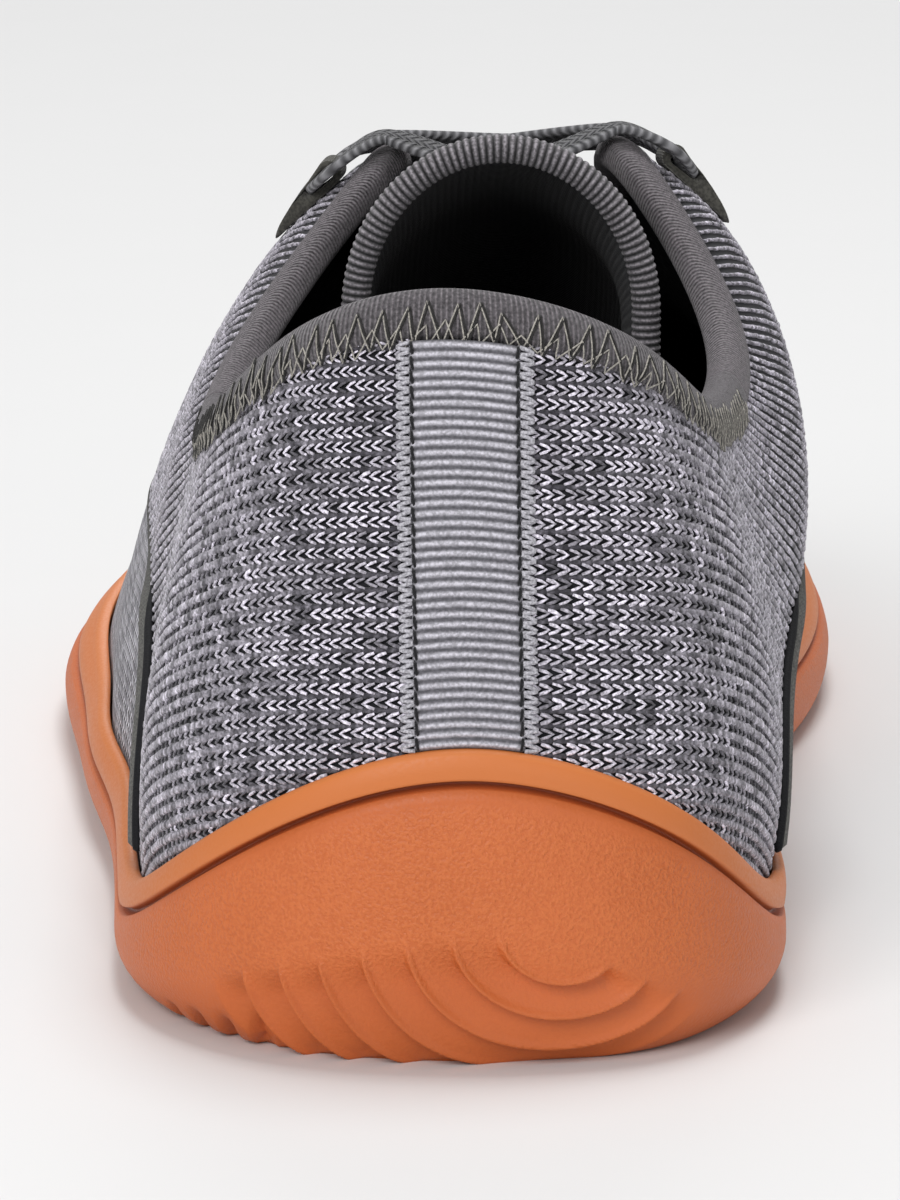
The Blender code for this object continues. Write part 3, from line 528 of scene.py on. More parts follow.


# smooth on the rim band, pebbled below it as far as the piece's grain value says; where that value is low, on
# the rim and its band, the colour is lighter: a painted highlight of the light from above
def makeGumFinish():
    made, tree = newFinish("gumRubber", {"Roughness": 0.5, "Specular IOR Level": 0.4})
    patches = mapRange(tree, noiseOver(tree, gumLook["patchScale"], 3.0), *gumLook["patchRange"])
    pebble = noiseOver(tree, gumLook["pebbleScale"], 1.0)
    grain = pointValue(tree, "grain")
    tone = mixColour(tree, patches, gumLook["dark"], gumLook["pale"])
    # the rim and its band take the lighter band colour: a painted highlight of the light from above
    tone = mixColour(tree, mapRange(tree, grain, *gumLook["bandHighlightRange"]), gumLook["band"], tone)
    flecks = calc(tree, "MULTIPLY", mapRange(tree, pebble, *gumLook["fleckRange"]), grain)
    tone = mixColour(tree, calc(tree, "MULTIPLY", flecks, gumLook["fleckShare"]), tone, gumLook["fleck"])
    # the groove under the rim band is darkened by this point value: painted shade
    colour = mixColour(tree, pointValue(tree, "grooveShade"), tone, gumLook["grooveShade"])
    rough = mapRange(tree, pebble, *gumLook["glossRange"], *gumLook["gloss"])
    height = calc(tree, "MULTIPLY", pebble, grain)
    return endFinish(made, colour, height, gumLook["pebbleDepth"], {"Roughness": rough})


# finely knitted front panel ahead of the side bands, near-black ground under the big stitches behind them
def makeKnitFinish():
    made, tree = newFinish("knitCloth", {"Roughness": 0.9, **knitSheen})
    stitch = useGroup(tree, chevronGroup, {"Place": clothMap(tree), **knitLook["stitch"]})
    yarn = mixColour(tree, mapRange(tree, stitch["Tint"], *knitLook["tintRange"]), *knitLook["yarns"])
    raised = mapRange(tree, stitch["Height"], *knitLook["shadeRange"])
    shaded = mixColour(tree, raised, knitLook["between"], yarn)
    front = mixColour(tree, stitch["Hole"], shaded, knitLook["hole"])
    ahead = mapRange(tree, pointValue(tree, "ahead"), -knitLook["seamHalf"], knitLook["seamHalf"])
    height = calc(tree, "MULTIPLY", stitch["Height"], ahead)
    return endFinish(made, mixColour(tree, ahead, knitLook["ground"], front), height, knitLook["depth"])


def makeLiningFinish():
    made, tree = newFinish("liningCloth", {"Roughness": 0.9})
    noise = noiseOver(tree, liningLook["scale"], 2.0)
    return endFinish(made, mixColour(tree, noise, *liningLook["tones"]), noise, liningLook["depth"])


# flat braid: two mirrored rows of nested V strands, paler along both edges, darker on the low parts of the
# strands as painted shade
def makeBraidFinish():
    made, tree = newFinish("braidedLace", {"Roughness": 0.75, "Sheen Weight": 0.15})
    stitch = useGroup(tree, chevronGroup, {"Place": clothMap(tree), **braidLook["stitch"]})
    edge = mapRange(tree, calc(tree, "ABSOLUTE", clothAxes(tree)[1]), *braidLook["edge"])
    dark, pale = (mixColour(tree, stitch["Height"], *braidLook[name]) for name in ("dark", "pale"))
    return endFinish(made, mixColour(tree, edge, dark, pale), stitch["Height"], braidLook["depth"])


# flecked yarn, of one colour or between two by the piece's tint value
def yarnFinish(name, constants, colours, scale, fleck, depth):
    made, tree = newFinish(name, constants)
    colour = colours[0] if len(colours) == 1 else mixColour(tree, pointValue(tree, "tint"), *colours)
    yarn = useGroup(tree, fleckGroup, {"Colour": colour, "Scale": scale, "Amount": fleck})
    return endFinish(made, yarn["Colour"], yarn["Height"], depth)


def threadFinish(name, colour, sheen=0.1):
    constants = {"Roughness": 0.75, "Sheen Weight": sheen, "Specular IOR Level": 0.25}
    return yarnFinish(name, constants, (colour,), 4000.0, 0.4, 0.00008)


# flecked cloth with ribs across it, for the tapes and rolls; the colour between the ribs is darker: painted
# shade in the grooves
def ribbedFinish(name, colour, dark, pitch, axis, depth, roughness=0.85, fleck=0.5):
    made, tree = newFinish(name, {"Roughness": roughness, **softSheen})
    rib = useGroup(tree, ribGroup, {"Place": clothAxes(tree)[axis], "Pitch": pitch})["Height"]
    yarn = useGroup(tree, fleckGroup, {"Colour": mixColour(tree, rib, dark, colour), "Amount": fleck})
    return endFinish(made, yarn["Colour"], rib, depth)


# plain weave: the ribs of the warp, lower where the weft dips, and darker where lower: painted shade
def weaveFinish(name, colour, dark):
    size = webbingLook
    made, tree = newFinish(name, {"Roughness": 0.85, "Sheen Weight": 0.1})
    warp, weft = (
        useGroup(tree, ribGroup, {"Place": clothAxes(tree)[axis], "Pitch": size[way]})["Height"]
        for axis, way in enumerate(("warp", "weft"))
    )
    dip = calc(tree, "MULTIPLY_ADD", weft, size["weftShare"], 1 - size["weftShare"])
    weave = calc(tree, "MULTIPLY", warp, dip)
    colour = mixColour(tree, weave, dark, colour)
    yarn = useGroup(tree, fleckGroup, {"Colour": colour, "Amount": size["fleck"]})
    return endFinish(made, yarn["Colour"], weave, size["depth"])


gumFinish = makeGumFinish()
knitFinish = makeKnitFinish()
liningFinish = makeLiningFinish()
braidFinish = makeBraidFinish()
yarnTones = ((0.034, 0.031, 0.041, 1), (0.80, 0.755, 0.86, 1))
stitchFinish = yarnFinish("knitYarn", {"Roughness": 0.85, **knitSheen}, yarnTones, 2600.0, 0.55, 0.0001)
webbingFinish = weaveFinish("webbing", (0.17, 0.165, 0.145, 1), (0.05, 0.048, 0.04, 1))
bandFinish = weaveFinish("bandCloth", (0.20, 0.195, 0.175, 1), (0.09, 0.088, 0.08, 1))
tongueFinish = weaveFinish("tongueCloth", (0.030, 0.029, 0.033, 1), (0.010, 0.010, 0.012, 1))
# ribbed cloths: colour, darker colour between the ribs as painted shade, their pitch, the map's axis they
# follow, their depth
collarFinish = ribbedFinish("collarTape", (0.165, 0.148, 0.16, 1), (0.066, 0.060, 0.066, 1), 0.55, 0, 0.0002)
facingFinish = ribbedFinish(
    "facingElastic", (0.16, 0.138, 0.153, 1), (0.084, 0.075, 0.082, 1), 0.55, 0, 0.0002
)
rollFinish = ribbedFinish("tongueElastic", (0.25, 0.232, 0.252, 1), (0.008, 0.008, 0.009, 1), 0.84, 0, 0.0001)
tapeFinish = ribbedFinish(
    "heelTape", (0.54, 0.525, 0.58, 1), (0.10, 0.097, 0.112, 1), 1.0, 1, 0.0001, roughness=0.7, fleck=0.35
)
blackThread = threadFinish("blackThread", (0.010, 0.010, 0.012, 1))
oliveThread = threadFinish("oliveThread", (0.36, 0.34, 0.305, 1))
darkThread = threadFinish("darkThread", (0.022, 0.021, 0.020, 1))
paleThread = threadFinish("paleThread", (0.46, 0.45, 0.49, 1))
pipingFinish = threadFinish("pipingCord", (0.006, 0.006, 0.008, 1), sheen=0.0)
print("finishes made:", len(bpy.data.materials))

# gum sole

gumSole = {
    "heelStretch": 42.0, "heelStep": 0.2, "sideStep": 2.6, "fanSteps": 41, "wallLevels": 86, "mapStep": 0.4,
    "floorShares": (0.5, 0.25, 0.03, 0.0), "innerShares": (0.12, 1, 5), "rimSteps": 6, "bandSteps": 9,
    "grooveSteps": 9, "settleSteps": 13, "firstUnder": (0.012, 0.03), "underShares": (0.05, 0.5, 20),
    "rimWall": 1.4, "rimEdge": 0.45, "rimBand": 3.0, "rimCrown": 0.25, "rimLean": 1.6, "bandSwell": 0.18,
    "groove": 1.0, "grooveDepth": 1.25, "grooveSkew": 0.8, "grooveRound": 0.6,
    "grooveStep": 0.15, "settle": 0.3,
    "arcFocusU": 9.0, "arcFocusDown": 0.0, "arcFlatten": 0.88, "arcFirst": 6.4, "arcPitch": 4.75,
    "arcStep": 1.5, "arcRamp": 4.6, "arcEdge": 0.55, "arcSweeps": (152, 156, 158, 112, 100, 90, 80),
    "arcFadeIn": 7.0, "arcDescend": 0.45, "arcFadeOut": 26.0,
    "arcLip": 0.45, "lipBack": 0.25, "lipHalf": 0.26, "lipFadeIn": 2.6,
    "notchFirstU": -27.0, "notchPitch": -5.2, "notchCount": 4, "notchDepth": 1.5, "notchHalfWidth": 1.7,
    "notchSlant": 2.5, "notchFade": (0.6, 1.15), "footAngle": 0.25, "footShare": 0.25,
    "treadPitch": 11.0, "treadDepth": 0.9, "treadSwing": 3.0, "treadWave": 16.0,
    "treadEdge": (0.55, 0.95), "treadFade": (0.02, 0.06),
    # how much of the pebbles shows, and where the heel's arcs are smoother; low values also mark the rim band
    # for its painted highlight
    "bandGrain": 0.05, "grooveGrain": 0.2, "settleGrain": (0.02, 0.2), "arcGrain": 0.25, "treadGrain": 0.3,
    "smoothDown": (1, 8), "smoothRound": (52, 34),
}


# stepped arcs: each drops at its radius from the focus and curves back up outwards, fading at both ends
def arcDepth(u, down):
    size = gumSole
    ahead = size["arcFocusU"] - u
    below = (down - size["arcFocusDown"]) / size["arcFlatten"]
    radius = np.hypot(ahead, below)
    turn = np.degrees(np.arctan2(below, ahead))
    depth = np.zeros_like(radius)
    for number, sweep in enumerate(size["arcSweeps"]):
        past = radius - size["arcFirst"] - size["arcPitch"] * number
        start = below - size["arcDescend"] * number
        ramp = smoothStep(past, 0, size["arcEdge"]) * np.clip(1 - (past / size["arcRamp"])**2, 0, 1)
        ramp = size["arcStep"] * ramp * smoothStep(start, 0, size["arcFadeIn"])
        lip = size["arcLip"] * np.exp(-((past + size["lipBack"]) / size["lipHalf"])**2)
        lip = lip * smoothStep(start, 0, size["lipFadeIn"])
        depth = depth + (ramp - lip) * smoothStep(turn, sweep, sweep - size["arcFadeOut"])
    return depth


# slanted wedges across the lower edge at the outer corner of the heel
def notchDepth(u, angle):
    size = gumSole
    middles = size["notchFirstU"] + size["notchPitch"] * np.arange(size["notchCount"])[:, None]
    away = np.abs(u - middles - size["notchSlant"] * np.cos(angle)) / size["notchHalfWidth"]
    return size["notchDepth"] * np.clip(1 - away, 0, 1).max(axis=0) * smoothStep(angle, *size["notchFade"])


# rings from the cup's floor up its inner wall, over the rim, down the outer wall and in under the tread
def makeSole():
    size = gumSole
    u = ringColumns(size["heelStretch"], size["heelStep"], size["sideStep"])
    signedU = np.where(u > toeU, u - ringLength, u)
    row = stationsAt(u)
    out = outward(u)
    edge = stack(row["edgeX"], row["edgeY"], 0)
    ground = lift(edge[:, 0], edge[:, 1])
    rimZ = row["rimZ"]
    widestZ = ground + last["widestShare"] * (rimZ - ground)
    rimT = ribTAtHeight(u, rimZ)
    rimPoints = onUpper(u, rimT, last["gap"] + size["rimWall"])
    rings = []

    # each ring's share of pebbles, and its share of the painted groove shade
    def add(points, grain, grooveShade=0.0):
        rings.append((points, np.broadcast_to(grain, len(u)), np.broadcast_to(grooveShade, len(u))))

    def wall(height, proud):
        share = np.clip((height - widestZ) / (rimZ - widestZ), 0, 1)**size["rimLean"]
        point = edge + share[:, None] * (rimPoints - edge) + np.asarray(proud)[..., None] * out
        point[:, 2] = height
        return point

    inside = onUpper(u, 0.0, last["gap"])
    partnerInside = onUpper(partnerU(u), 0.0, last["gap"])
    for share in size["floorShares"]:
        point = inside + share * (partnerInside - inside)
        point[:, 2] = last["solePlate"] + lift(point[:, 0], point[:, 1])
        add(point, 0)
    for share in np.linspace(*size["innerShares"]):
        inner = onUpper(u, rimT * share, last["gap"])
        add(inner, 0)
    rimLow = rimZ - size["rimEdge"]
    outer = wall(rimLow, 0.0)
    for angle in np.linspace(0, np.pi / 2, size["rimSteps"])[1:-1]:
        point = inner + (1 - np.cos(2 * angle)) / 2 * (outer - inner)
        point[:, 2] = rimZ - size["rimEdge"] * np.sin(angle)**6 + size["rimCrown"] * np.sin(2 * angle)
        add(point, 0)
    for share in np.linspace(0, 1, size["bandSteps"]):
        height = rimLow - share * (size["rimBand"] - size["rimEdge"])
        add(wall(height, size["bandSwell"] * np.sin(np.pi * share)), size["bandGrain"])
    bandLow = rimZ - size["rimBand"]
    # the groove under the band, darkest along its middle: painted shade in the groove
    for share in np.linspace(0, 1, size["grooveSteps"])[1:]:
        trough = np.sin(np.pi * share**size["grooveSkew"])**size["grooveRound"] * size["grooveDepth"]
        point = wall(bandLow - share * size["groove"], -trough - size["grooveStep"] * share)
        add(point, size["grooveGrain"], np.sin(np.pi * share))
    grooveLow = bandLow - size["groove"]
    for share in np.linspace(0, 1, size["settleSteps"])[1:]:
        settle = -size["grooveStep"] * (1 - smoothStep(share, 0, size["settle"]))
        grain = smoothStep(share, *size["settleGrain"])
        add(wall(grooveLow + share * (widestZ - grooveLow), settle), grain)
    heelAngles = np.linspace(0, np.pi / 2, size["fanSteps"])
    heelRow = stationsAt(np.zeros(1))
    heelDrop = last["widestShare"] * heelRow["rimZ"]
    heelDown = runAlong(pairMap(heelRow["floorIn"] * (1 - np.cos(heelAngles)), heelDrop * np.sin(heelAngles)))
    for down in np.linspace(0, heelDown[-1], size["wallLevels"])[1:]:
        angle = np.interp(down, heelDown, heelAngles)
        point = edge - (row["floorIn"] * (1 - np.cos(angle)))[:, None] * out
        point[:, 2] = widestZ - (widestZ - ground) * np.sin(angle)
        normal = unit(np.cos(angle) * out + stack(0, 0, -np.sin(angle)))
        flatten = smoothStep(angle, np.pi / 2, np.pi / 2 - size["footAngle"])
        cut = arcDepth(signedU, down) + notchDepth(signedU, angle)
        cut = cut * (size["footShare"] + (1 - size["footShare"]) * flatten)
        smooth = smoothStep(down, *size["smoothDown"]) * smoothStep(np.abs(signedU), *size["smoothRound"])
        add(point - cut[:, None] * normal, 1 - (1 - size["arcGrain"]) * smooth)
    under = edge - row["floorIn"][:, None] * out
    partnerUnder = readBetween(partnerU(u), u, under)
    for share in (*size["firstUnder"], *np.linspace(*size["underShares"])):
        point = under + share * (partnerUnder - under)
        x, y = point[:, 0], point[:, 1]
        swing = size["treadSwing"] * np.cos(2 * np.pi * x / size["treadWave"])
        wave = np.cos(2 * np.pi * (y + swing) / size["treadPitch"])
        trough = smoothStep(wave, *size["treadEdge"]) * smoothStep(share, *size["treadFade"])
        point[:, 2] = lift(x, y) + size["treadDepth"] * trough
        add(point, size["treadGrain"])
    points, grain, grooveShade = (np.stack(column) for column in zip(*rings))
    cloth = pairMap(u, np.arange(len(rings))[:, None] * size["mapStep"])
    addPiece(
        "gumSole", points, gridFaces(len(rings), len(u)), [gumFinish], cloth,
        {"grain": grain, "grooveShade": grooveShade}, nodes=["outsole"],
    )


makeSole()
print("gum sole made")

# knit upper: one closed shell, its outside split into panels by the side bands

knitUpper = {
    "heelStretch": 60.0, "heelStep": 1.6, "sideStep": 2.2, "outerLevels": 44, "innerLevels": 22,
    "tuckIn": 1.0, "sunkUnderStitches": 0.35, "sinkHalf": 1.5, "creaseFade": 10.0, "creaseRidge": 0.8,
    "bandWidth": 5.0, "bandTightness": 0.38, "bandParts": 14,
    # the side band's middle: place along the sole's widest line, and height
    "bandPath": (
        (47.5, 13.4), (54, 19), (62, 24.5), (72, 29.5), (86, 34.3),
        (104, 37.2), (122, 38.4), (140, 39), (156, 40.5), (168, 45),
    ),
}
# soft creases across the vamp and at the ankle: middle u and share, half lengths, depth
creases = (
    (205, 0.62, 26, 0.045, 0.9),
    (222, 0.70, 24, 0.04, 0.7),
    (ringLength - 200, 0.60, 26, 0.045, 0.9),
    (ringLength - 216, 0.69, 24, 0.04, 0.7),
    (74, 0.55, 9, 0.16, 0.6),
    (ringLength - 74, 0.55, 9, 0.16, 0.6),
)
bandLine = smoothPath(knitUpper["bandPath"], knitUpper["bandTightness"], knitUpper["bandParts"])


# each crease is a bell-shaped trough with a small ridge on both sides
def creaseDepth(u, t):
    total = 0.0
    for middleU, middleT, halfU, halfT, depth in creases:
        far = ((u - middleU) / halfU)**2 + ((t - middleT) / halfT)**2
        total = total + depth * (1 - knitUpper["creaseRidge"] * far) * np.exp(-far)
    return total


# millimetres ahead of the band's middle line, measured along the sole's edge at the same height
def aheadOfBand(u, t):
    height = upperPoints(u, t)[..., 2]
    return stationsAt(u)["edgeY"] - np.interp(height, bandLine[:, 1], bandLine[:, 0])


# every rib from its foot to under the binding, then down again a wall's thickness further in
def makeUpper():
    size = knitUpper
    u = ringColumns(size["heelStretch"], size["heelStep"], size["sideStep"])
    topT = ribTBelowTop(u, last["bindingHeight"] - size["tuckIn"])
    outerT = np.linspace(0, 1, size["outerLevels"])[:, None] * topT
    innerT = np.linspace(1, 0, size["innerLevels"])[:, None] * topT
    ahead = aheadOfBand(u, outerT)
    sunk = size["sunkUnderStitches"] * smoothStep(ahead, size["sinkHalf"], -size["sinkHalf"])
    sunk = sunk + creaseDepth(u, outerT) * smoothStep(ahead, 0, size["creaseFade"])
    outer = onUpper(u, outerT, -sunk)
    points = np.concatenate([outer, onUpper(u, innerT, -last["upperWall"])])
    run = runAlong(outer)
    cloth = pairMap(fromHeel(u), np.concatenate([run, np.repeat(run[-1:], len(innerT), axis=0)]))
    faces = gridFaces(len(points), len(u), closeRows=True)
    lined = faces[:, 0] // len(u) >= size["outerLevels"] - 1
    values = {"ahead": np.concatenate([ahead, np.zeros_like(innerT)])}
    addPiece(
        "knitUpper", points, faces, [knitFinish, liningFinish], cloth, values, lined, ["upper"]
    )


makeUpper()
print("knit upper made")

# open knit behind the side bands: flat row yarns, and V stitches between them that point away from the tape

openKnit = {
    "firstU": 7.0, "stitch": 1.38, "stitchReach": 68.0, "rows": 28, "lowestRow": -12, "highestRow": 80,
    "droop": 0.44, "droopStart": 27.0, "droopSoft": 16.0, "tuckIn": 0.6, "bandOverlap": 0.6, "ribSteps": 121,
    "rowHalf": 0.19, "rowFarHalf": 0.32, "rowThick": 0.26, "rowSink": 0.06, "rowWave": 0.04, "rowSample": 0.5,
    "rowStep": 1.15, "shortestRow": 8, "rowSeed": 47, "seed": 7, "corners": 6,
    # a V's five sections: ahead in stitches, up in rows, off the upper in millimetres, and their girth
    "ahead": (-0.52, 0.02, 0.50, 0.02, -0.52), "rise": (-0.34, -0.20, 0.0, 0.20, 0.34),
    "heights": (0.20, 0.14, -0.06, 0.14, 0.20), "girth": (0.75, 1.0, 1.15, 1.0, 0.75),
    "yarn": 0.19, "yarnFlat": 1.1, "yarnSpread": 0.12, "leastWidth": 0.7, "shake": 0.05, "shakeLift": 0.4,
    "farSink": 0.40, "fadeStart": 12.0, "fadeEnd": 50.0,
    "paleTint": 0.86, "farTint": 0.14, "tintSpread": 0.32, "leastTint": 0.1,
    "rowTint": 0.04, "rowFarTint": 0.49, "rowNearSpread": 0.05, "rowSpread": 0.25,
}


# a value that changes smoothly from the tape to the side
def fade(far, near, away):
    return openKnit[near] + (openKnit[away] - openKnit[near]) * far


# 0 beside the tape, 1 at the side
def farShare(u):
    return smoothStep(fromHeel(u), openKnit["fadeStart"], openKnit["fadeEnd"])


# for one side: rows level at the tape that droop more and more towards the side, as distances up each rib
def knitLayout(side, wales, rows):
    size = openKnit
    u = wales if side == "medial" else ringLength - wales
    steps = np.linspace(0, 1, size["ribSteps"])
    rimZ = stationsAt(u)["rimZ"]
    rimT = ribTAtHeight(u, rimZ)[:, None]
    topT = ribTBelowTop(u, last["bindingHeight"] - size["tuckIn"])[:, None]
    run = runAlong(upperPoints(u[:, None], rimT + steps * (topT - rimT)), axis=1)
    rowHeight = run[0, -1] / size["rows"]
    past = wales - size["droopStart"]
    droop = size["droop"] / 2 * (np.hypot(past, size["droopSoft"]) + past)
    wanted = rows[None, :] * rowHeight + (rimZ[0] + droop[0] - droop - rimZ)[:, None]
    share = np.array([np.interp(want, have, steps) for want, have in zip(wanted, run)])
    share = np.where(wanted < 0, wanted / run[:, -1:], share)
    t = rimT + share * (topT - rimT)
    grid = np.broadcast_to(u[:, None], t.shape)
    keep = (wanted > -rowHeight) & (wanted < run[:, -1:])
    keep = keep & (aheadOfBand(grid, t) < -knitUpper["bandWidth"] / 2 + size["bandOverlap"])
    return grid, t, rowHeight, keep


# a V of five sections at each kept place: lower arm's end, its middle, tip, middle, upper arm's end
def makeStitches(side):
    size = openKnit
    sign = 1 if side == "medial" else -1
    wales = np.arange(size["firstU"], size["stitchReach"], size["stitch"])
    rows = np.arange(size["lowestRow"], size["highestRow"]) + 0.5
    grid, t, rowHeight, keep = knitLayout(side, wales, rows)
    along = unit(np.gradient(upperPoints(grid, t), axis=0))[keep][:, None]
    u, t = grid[keep], t[keep]
    place, _, _, normal = (value[:, None] for value in upperFrame(u, t))
    upward = sign * np.cross(normal, along)
    stretch = np.linalg.norm(upperPoints(u + 0.5, t) - upperPoints(u - 0.5, t), axis=-1)
    stitch = size["stitch"] * stretch
    count = len(place)
    random = np.random.default_rng(size["seed"] + sign)
    shake = random.normal(0, size["shake"], (count, 3))
    far = farShare(u)
    ahead = np.array(size["ahead"]) * stitch[:, None] + shake[:, :1]
    rise = np.array(size["rise"]) * rowHeight + shake[:, 1:2]
    off = np.array(size["heights"]) + size["shakeLift"] * shake[:, 2:] - (size["farSink"] * far)[:, None]
    path = place + ahead[..., None] * along + rise[..., None] * upward + off[..., None] * normal
    tangent = unit(np.gradient(path, axis=1))
    first = unit(np.cross(normal, tangent))
    thick = size["yarn"] * (1 + size["yarnSpread"] * random.normal(size=count))
    thick = thick * np.clip(stitch / size["stitch"], size["leastWidth"], 1)
    half = thick[:, None] * np.array(size["girth"])
    points = tubePoints(path, first, np.cross(tangent, first), half * size["yarnFlat"], half, size["corners"])
    tint = fade(far, "paleTint", "farTint") + size["tintSpread"] * random.normal(size=count)
    tint = np.clip(tint, size["leastTint"], 1)[:, None, None]
    name = "openStitches" + side.capitalize()
    print(name + ":", count, "stitches")
    values = {"tint": np.broadcast_to(tint, points.shape[:3])}
    addTubes(name, points, stitchFinish, values=values)


# a flat yarn along each row's edge, from the tape or the collar to the side band
def makeRowYarns(side):
    size = openKnit
    farthest = fromHeel(placeByEdge("edgeY", side, bandLine[-1, 0]))
    wales = np.arange(size["firstU"], farthest, size["rowSample"])
    rows = np.arange(size["lowestRow"], size["highestRow"], dtype=float)
    grid, t, rowHeight, keep = knitLayout(side, wales, rows)
    held = keep.sum(axis=0) > size["shortestRow"]
    firstKept = np.argmax(keep, axis=0)[held][:, None]
    lastKept = (len(wales) - 1 - np.argmax(keep[::-1], axis=0))[held][:, None]
    share = np.linspace(0, 1, int((wales[-1] - wales[0]) / size["rowStep"]))
    index = firstKept + share * (lastKept - firstKept)
    low = np.minimum(index.astype(int), len(wales) - 2)
    part = index - low
    row = np.arange(len(rows))[held][:, None]
    u, t = ((1 - part) * values[low, row] + part * values[low + 1, row] for values in (grid, t))
    path, along, _, normal = upperFrame(u, t)
    random = np.random.default_rng(size["rowSeed"])
    wave = size["rowWave"] * random.normal(size=u.shape)
    upward = np.cross(normal, along)
    path = path + (wave - size["rowSink"])[..., None] * normal + wave[..., None] * upward
    far = farShare(u)
    half = rowHeight * fade(far, "rowHalf", "rowFarHalf")
    points = tubePoints(path, upward, normal, half, np.full(u.shape, size["rowThick"]), size["corners"])
    tint = fade(far, "rowTint", "rowFarTint")
    tint = np.clip(tint + fade(far, "rowNearSpread", "rowSpread") * random.normal(size=u.shape), 0, 1)
    values = {"tint": np.broadcast_to(tint[..., None], points.shape[:3])}
    addTubes("rowYarns" + side.capitalize(), points, stitchFinish, values=values)


for side in sides:
    makeStitches(side)
    makeRowYarns(side)
print("open knit made")

# elastic round the upper's top edge: a tape round the collar, a fatter roll round the throat

edgeBinding = {
    "step": 0.9, "corners": 28, "endGap": 0.04,
    # share of the binding's height, and how far off the upper, round the section
    "section": (
        (0, 0.3), (0.25, 0.9), (0.7, 0.9), (0.95, 0.2), (1, -1.1),
        (0.95, -2.4), (0.7, -3.1), (0.25, -3.1), (0, -2.5),
    ),
}
collarLow = [stationKnots[list(stations).index(name)] for name in ("collarLowMedial", "collarLowLateral")]
collarStart = collarLow[1] - ringLength


# the section's closed curve carried along the top edge
def makeBinding(name, startU, endU, finish, node):
    size = edgeBinding
    startU = startU + size["endGap"]
    endU = endU - size["endGap"]
    u = np.linspace(startU, endU, round((endU - startU) / size["step"]))[:, None]
    section = np.array(size["section"])
    knots = chordKnots(section * (last["bindingHeight"], 1))
    turn = np.linspace(0, knots[-1], size["corners"], endpoint=False)
    share, offset = closedSpline(knots, section)(turn).T
    lowT = ribTBelowTop(u, last["bindingHeight"])
    points = onUpper(u, lowT + (1 - lowT) * share, offset)
    along = runAlong(upperPoints(u[:, 0], 1.0))
    addTubes(name, points[None], finish, pairMap(along[:, None], turn), nodes=[node])


makeBinding("collarTape", collarStart, collarLow[0], collarFinish, "collar_binding")
makeBinding("throatRoll", *collarLow, facingFinish, "throat_binding")
print("collar tape and throat roll made")

# overlock threads that zigzag over the collar tape's lower half and on to the knit

overlock = {
    "pitch": 3.4, "lowest": -1.0, "highest": 3.3, "legPoints": 7, "corners": 6, "endSkip": 2.5,
    "uneven": 0.13, "heightSpread": 0.3, "seed": 3,
    # height over the tape's low edge, and how far off the upper the thread lies there
    "surface": ((-1.5, 0.40), (-0.2, 0.60), (0.4, 0.95), (1.3, 1.08), (3.8, 1.05)),
}


# each leg runs straight between low and high, and the next leg comes back half a pitch further on
def makeOverlock(name, shift, lean, thread, reach, finish):
    size = overlock
    startU = collarStart + size["endSkip"]
    legs = int((collarLow[0] - size["endSkip"] - startU) / size["pitch"]) * 2
    random = np.random.default_rng(size["seed"])
    corner = np.arange(legs + 1)
    steps = corner / 2 + shift + lean * (corner % 2) + size["uneven"] * random.normal(size=legs + 1)
    cornerHeight = np.where(corner % 2 == 0, size["lowest"], size["highest"] * reach)
    cornerHeight = cornerHeight + size["heightSpread"] * random.normal(size=legs + 1)
    travel = np.linspace(0, legs, legs * size["legPoints"] + 1)[None]
    u = np.interp(travel, corner, startU + steps * size["pitch"])
    height = np.interp(travel, corner, cornerHeight)
    offset = np.interp(height, *np.array(size["surface"]).T)
    t = ribTBelowTop(u, last["bindingHeight"] - height)
    addThreads(name, u, t, offset, thread, size["corners"], finish)


# shift and lean in pitches, half thickness, share of the height reached
makeOverlock("overlockPale", 0.0, 0.12, 0.09, 1.0, oliveThread)
makeOverlock("overlockDark", 0.10, 0.12, 0.12, 1.0, darkThread)
makeOverlock("overlockLow", 0.55, 0.3, 0.09, 0.4, oliveThread)
print("overlock threads made")

# tongue sheet and the ribbed roll on its back edge

tongueShape = {
    "wall": 2.5, "archShare": 0.7, "levels": 12, "tightness": 0.5, "sides": 61, "girth": 30.0,
    "roll": 3.4, "gap": 0.3, "ribPitch": 0.84, "ribDepth": 0.22, "ribPoints": 8, "ribPower": 0.8,
    "corners": 18, "archPlaces": 600, "rollEnds": (-0.2, 1.6),
}
tongueColumns = ("y", "x", "crestZ", "halfWidth", "depth", "leg")
tongueSections = (
    (96, 3.6, 85.8, 18, 20, 20),
    (112, 3.2, 79.2, 17.2, 18, 14),
    (135, 3.5, 71.5, 18.5, 17, 8),
    (158, 3, 58, 19, 16, 3),
    (172, 3, 49.8, 18.5, 15, 1),
    (186, 3.5, 50.6, 18, 14, 0),
)


# half an ellipse across the middle of the sheet, then straight legs down both sides
def tongueGrid(rows, across, inward):
    value = dict(zip(tongueColumns, np.asarray(rows, float).T[..., None]))
    straight = tongueShape["archShare"]
    arch = np.clip(across / straight, -1, 1) * np.pi / 2
    leg = np.maximum(np.abs(across) - straight, 0) / (1 - straight)
    x = value["x"] + (value["halfWidth"] - inward) * np.sin(arch)
    fall = (value["depth"] - inward) * (1 - np.cos(arch)) + value["leg"] * leg
    return stack(x, value["y"], value["crestZ"] - inward - fall)


# the sections blended along the instep, for the outside and for the inside
def makeTongue():
    size = tongueShape
    across = np.linspace(-1, 1, size["sides"])
    rows = smoothPath(tongueSections, size["tightness"], size["levels"])
    outer, inner = (tongueGrid(rows, across, inward) for inward in (0.0, size["wall"]))
    cloth = pairMap(runAlong(outer[:, size["sides"] // 2])[:, None], across * size["girth"])
    addSheet("tongueSheet", outer, inner, tongueFinish, cloth, "tongue")


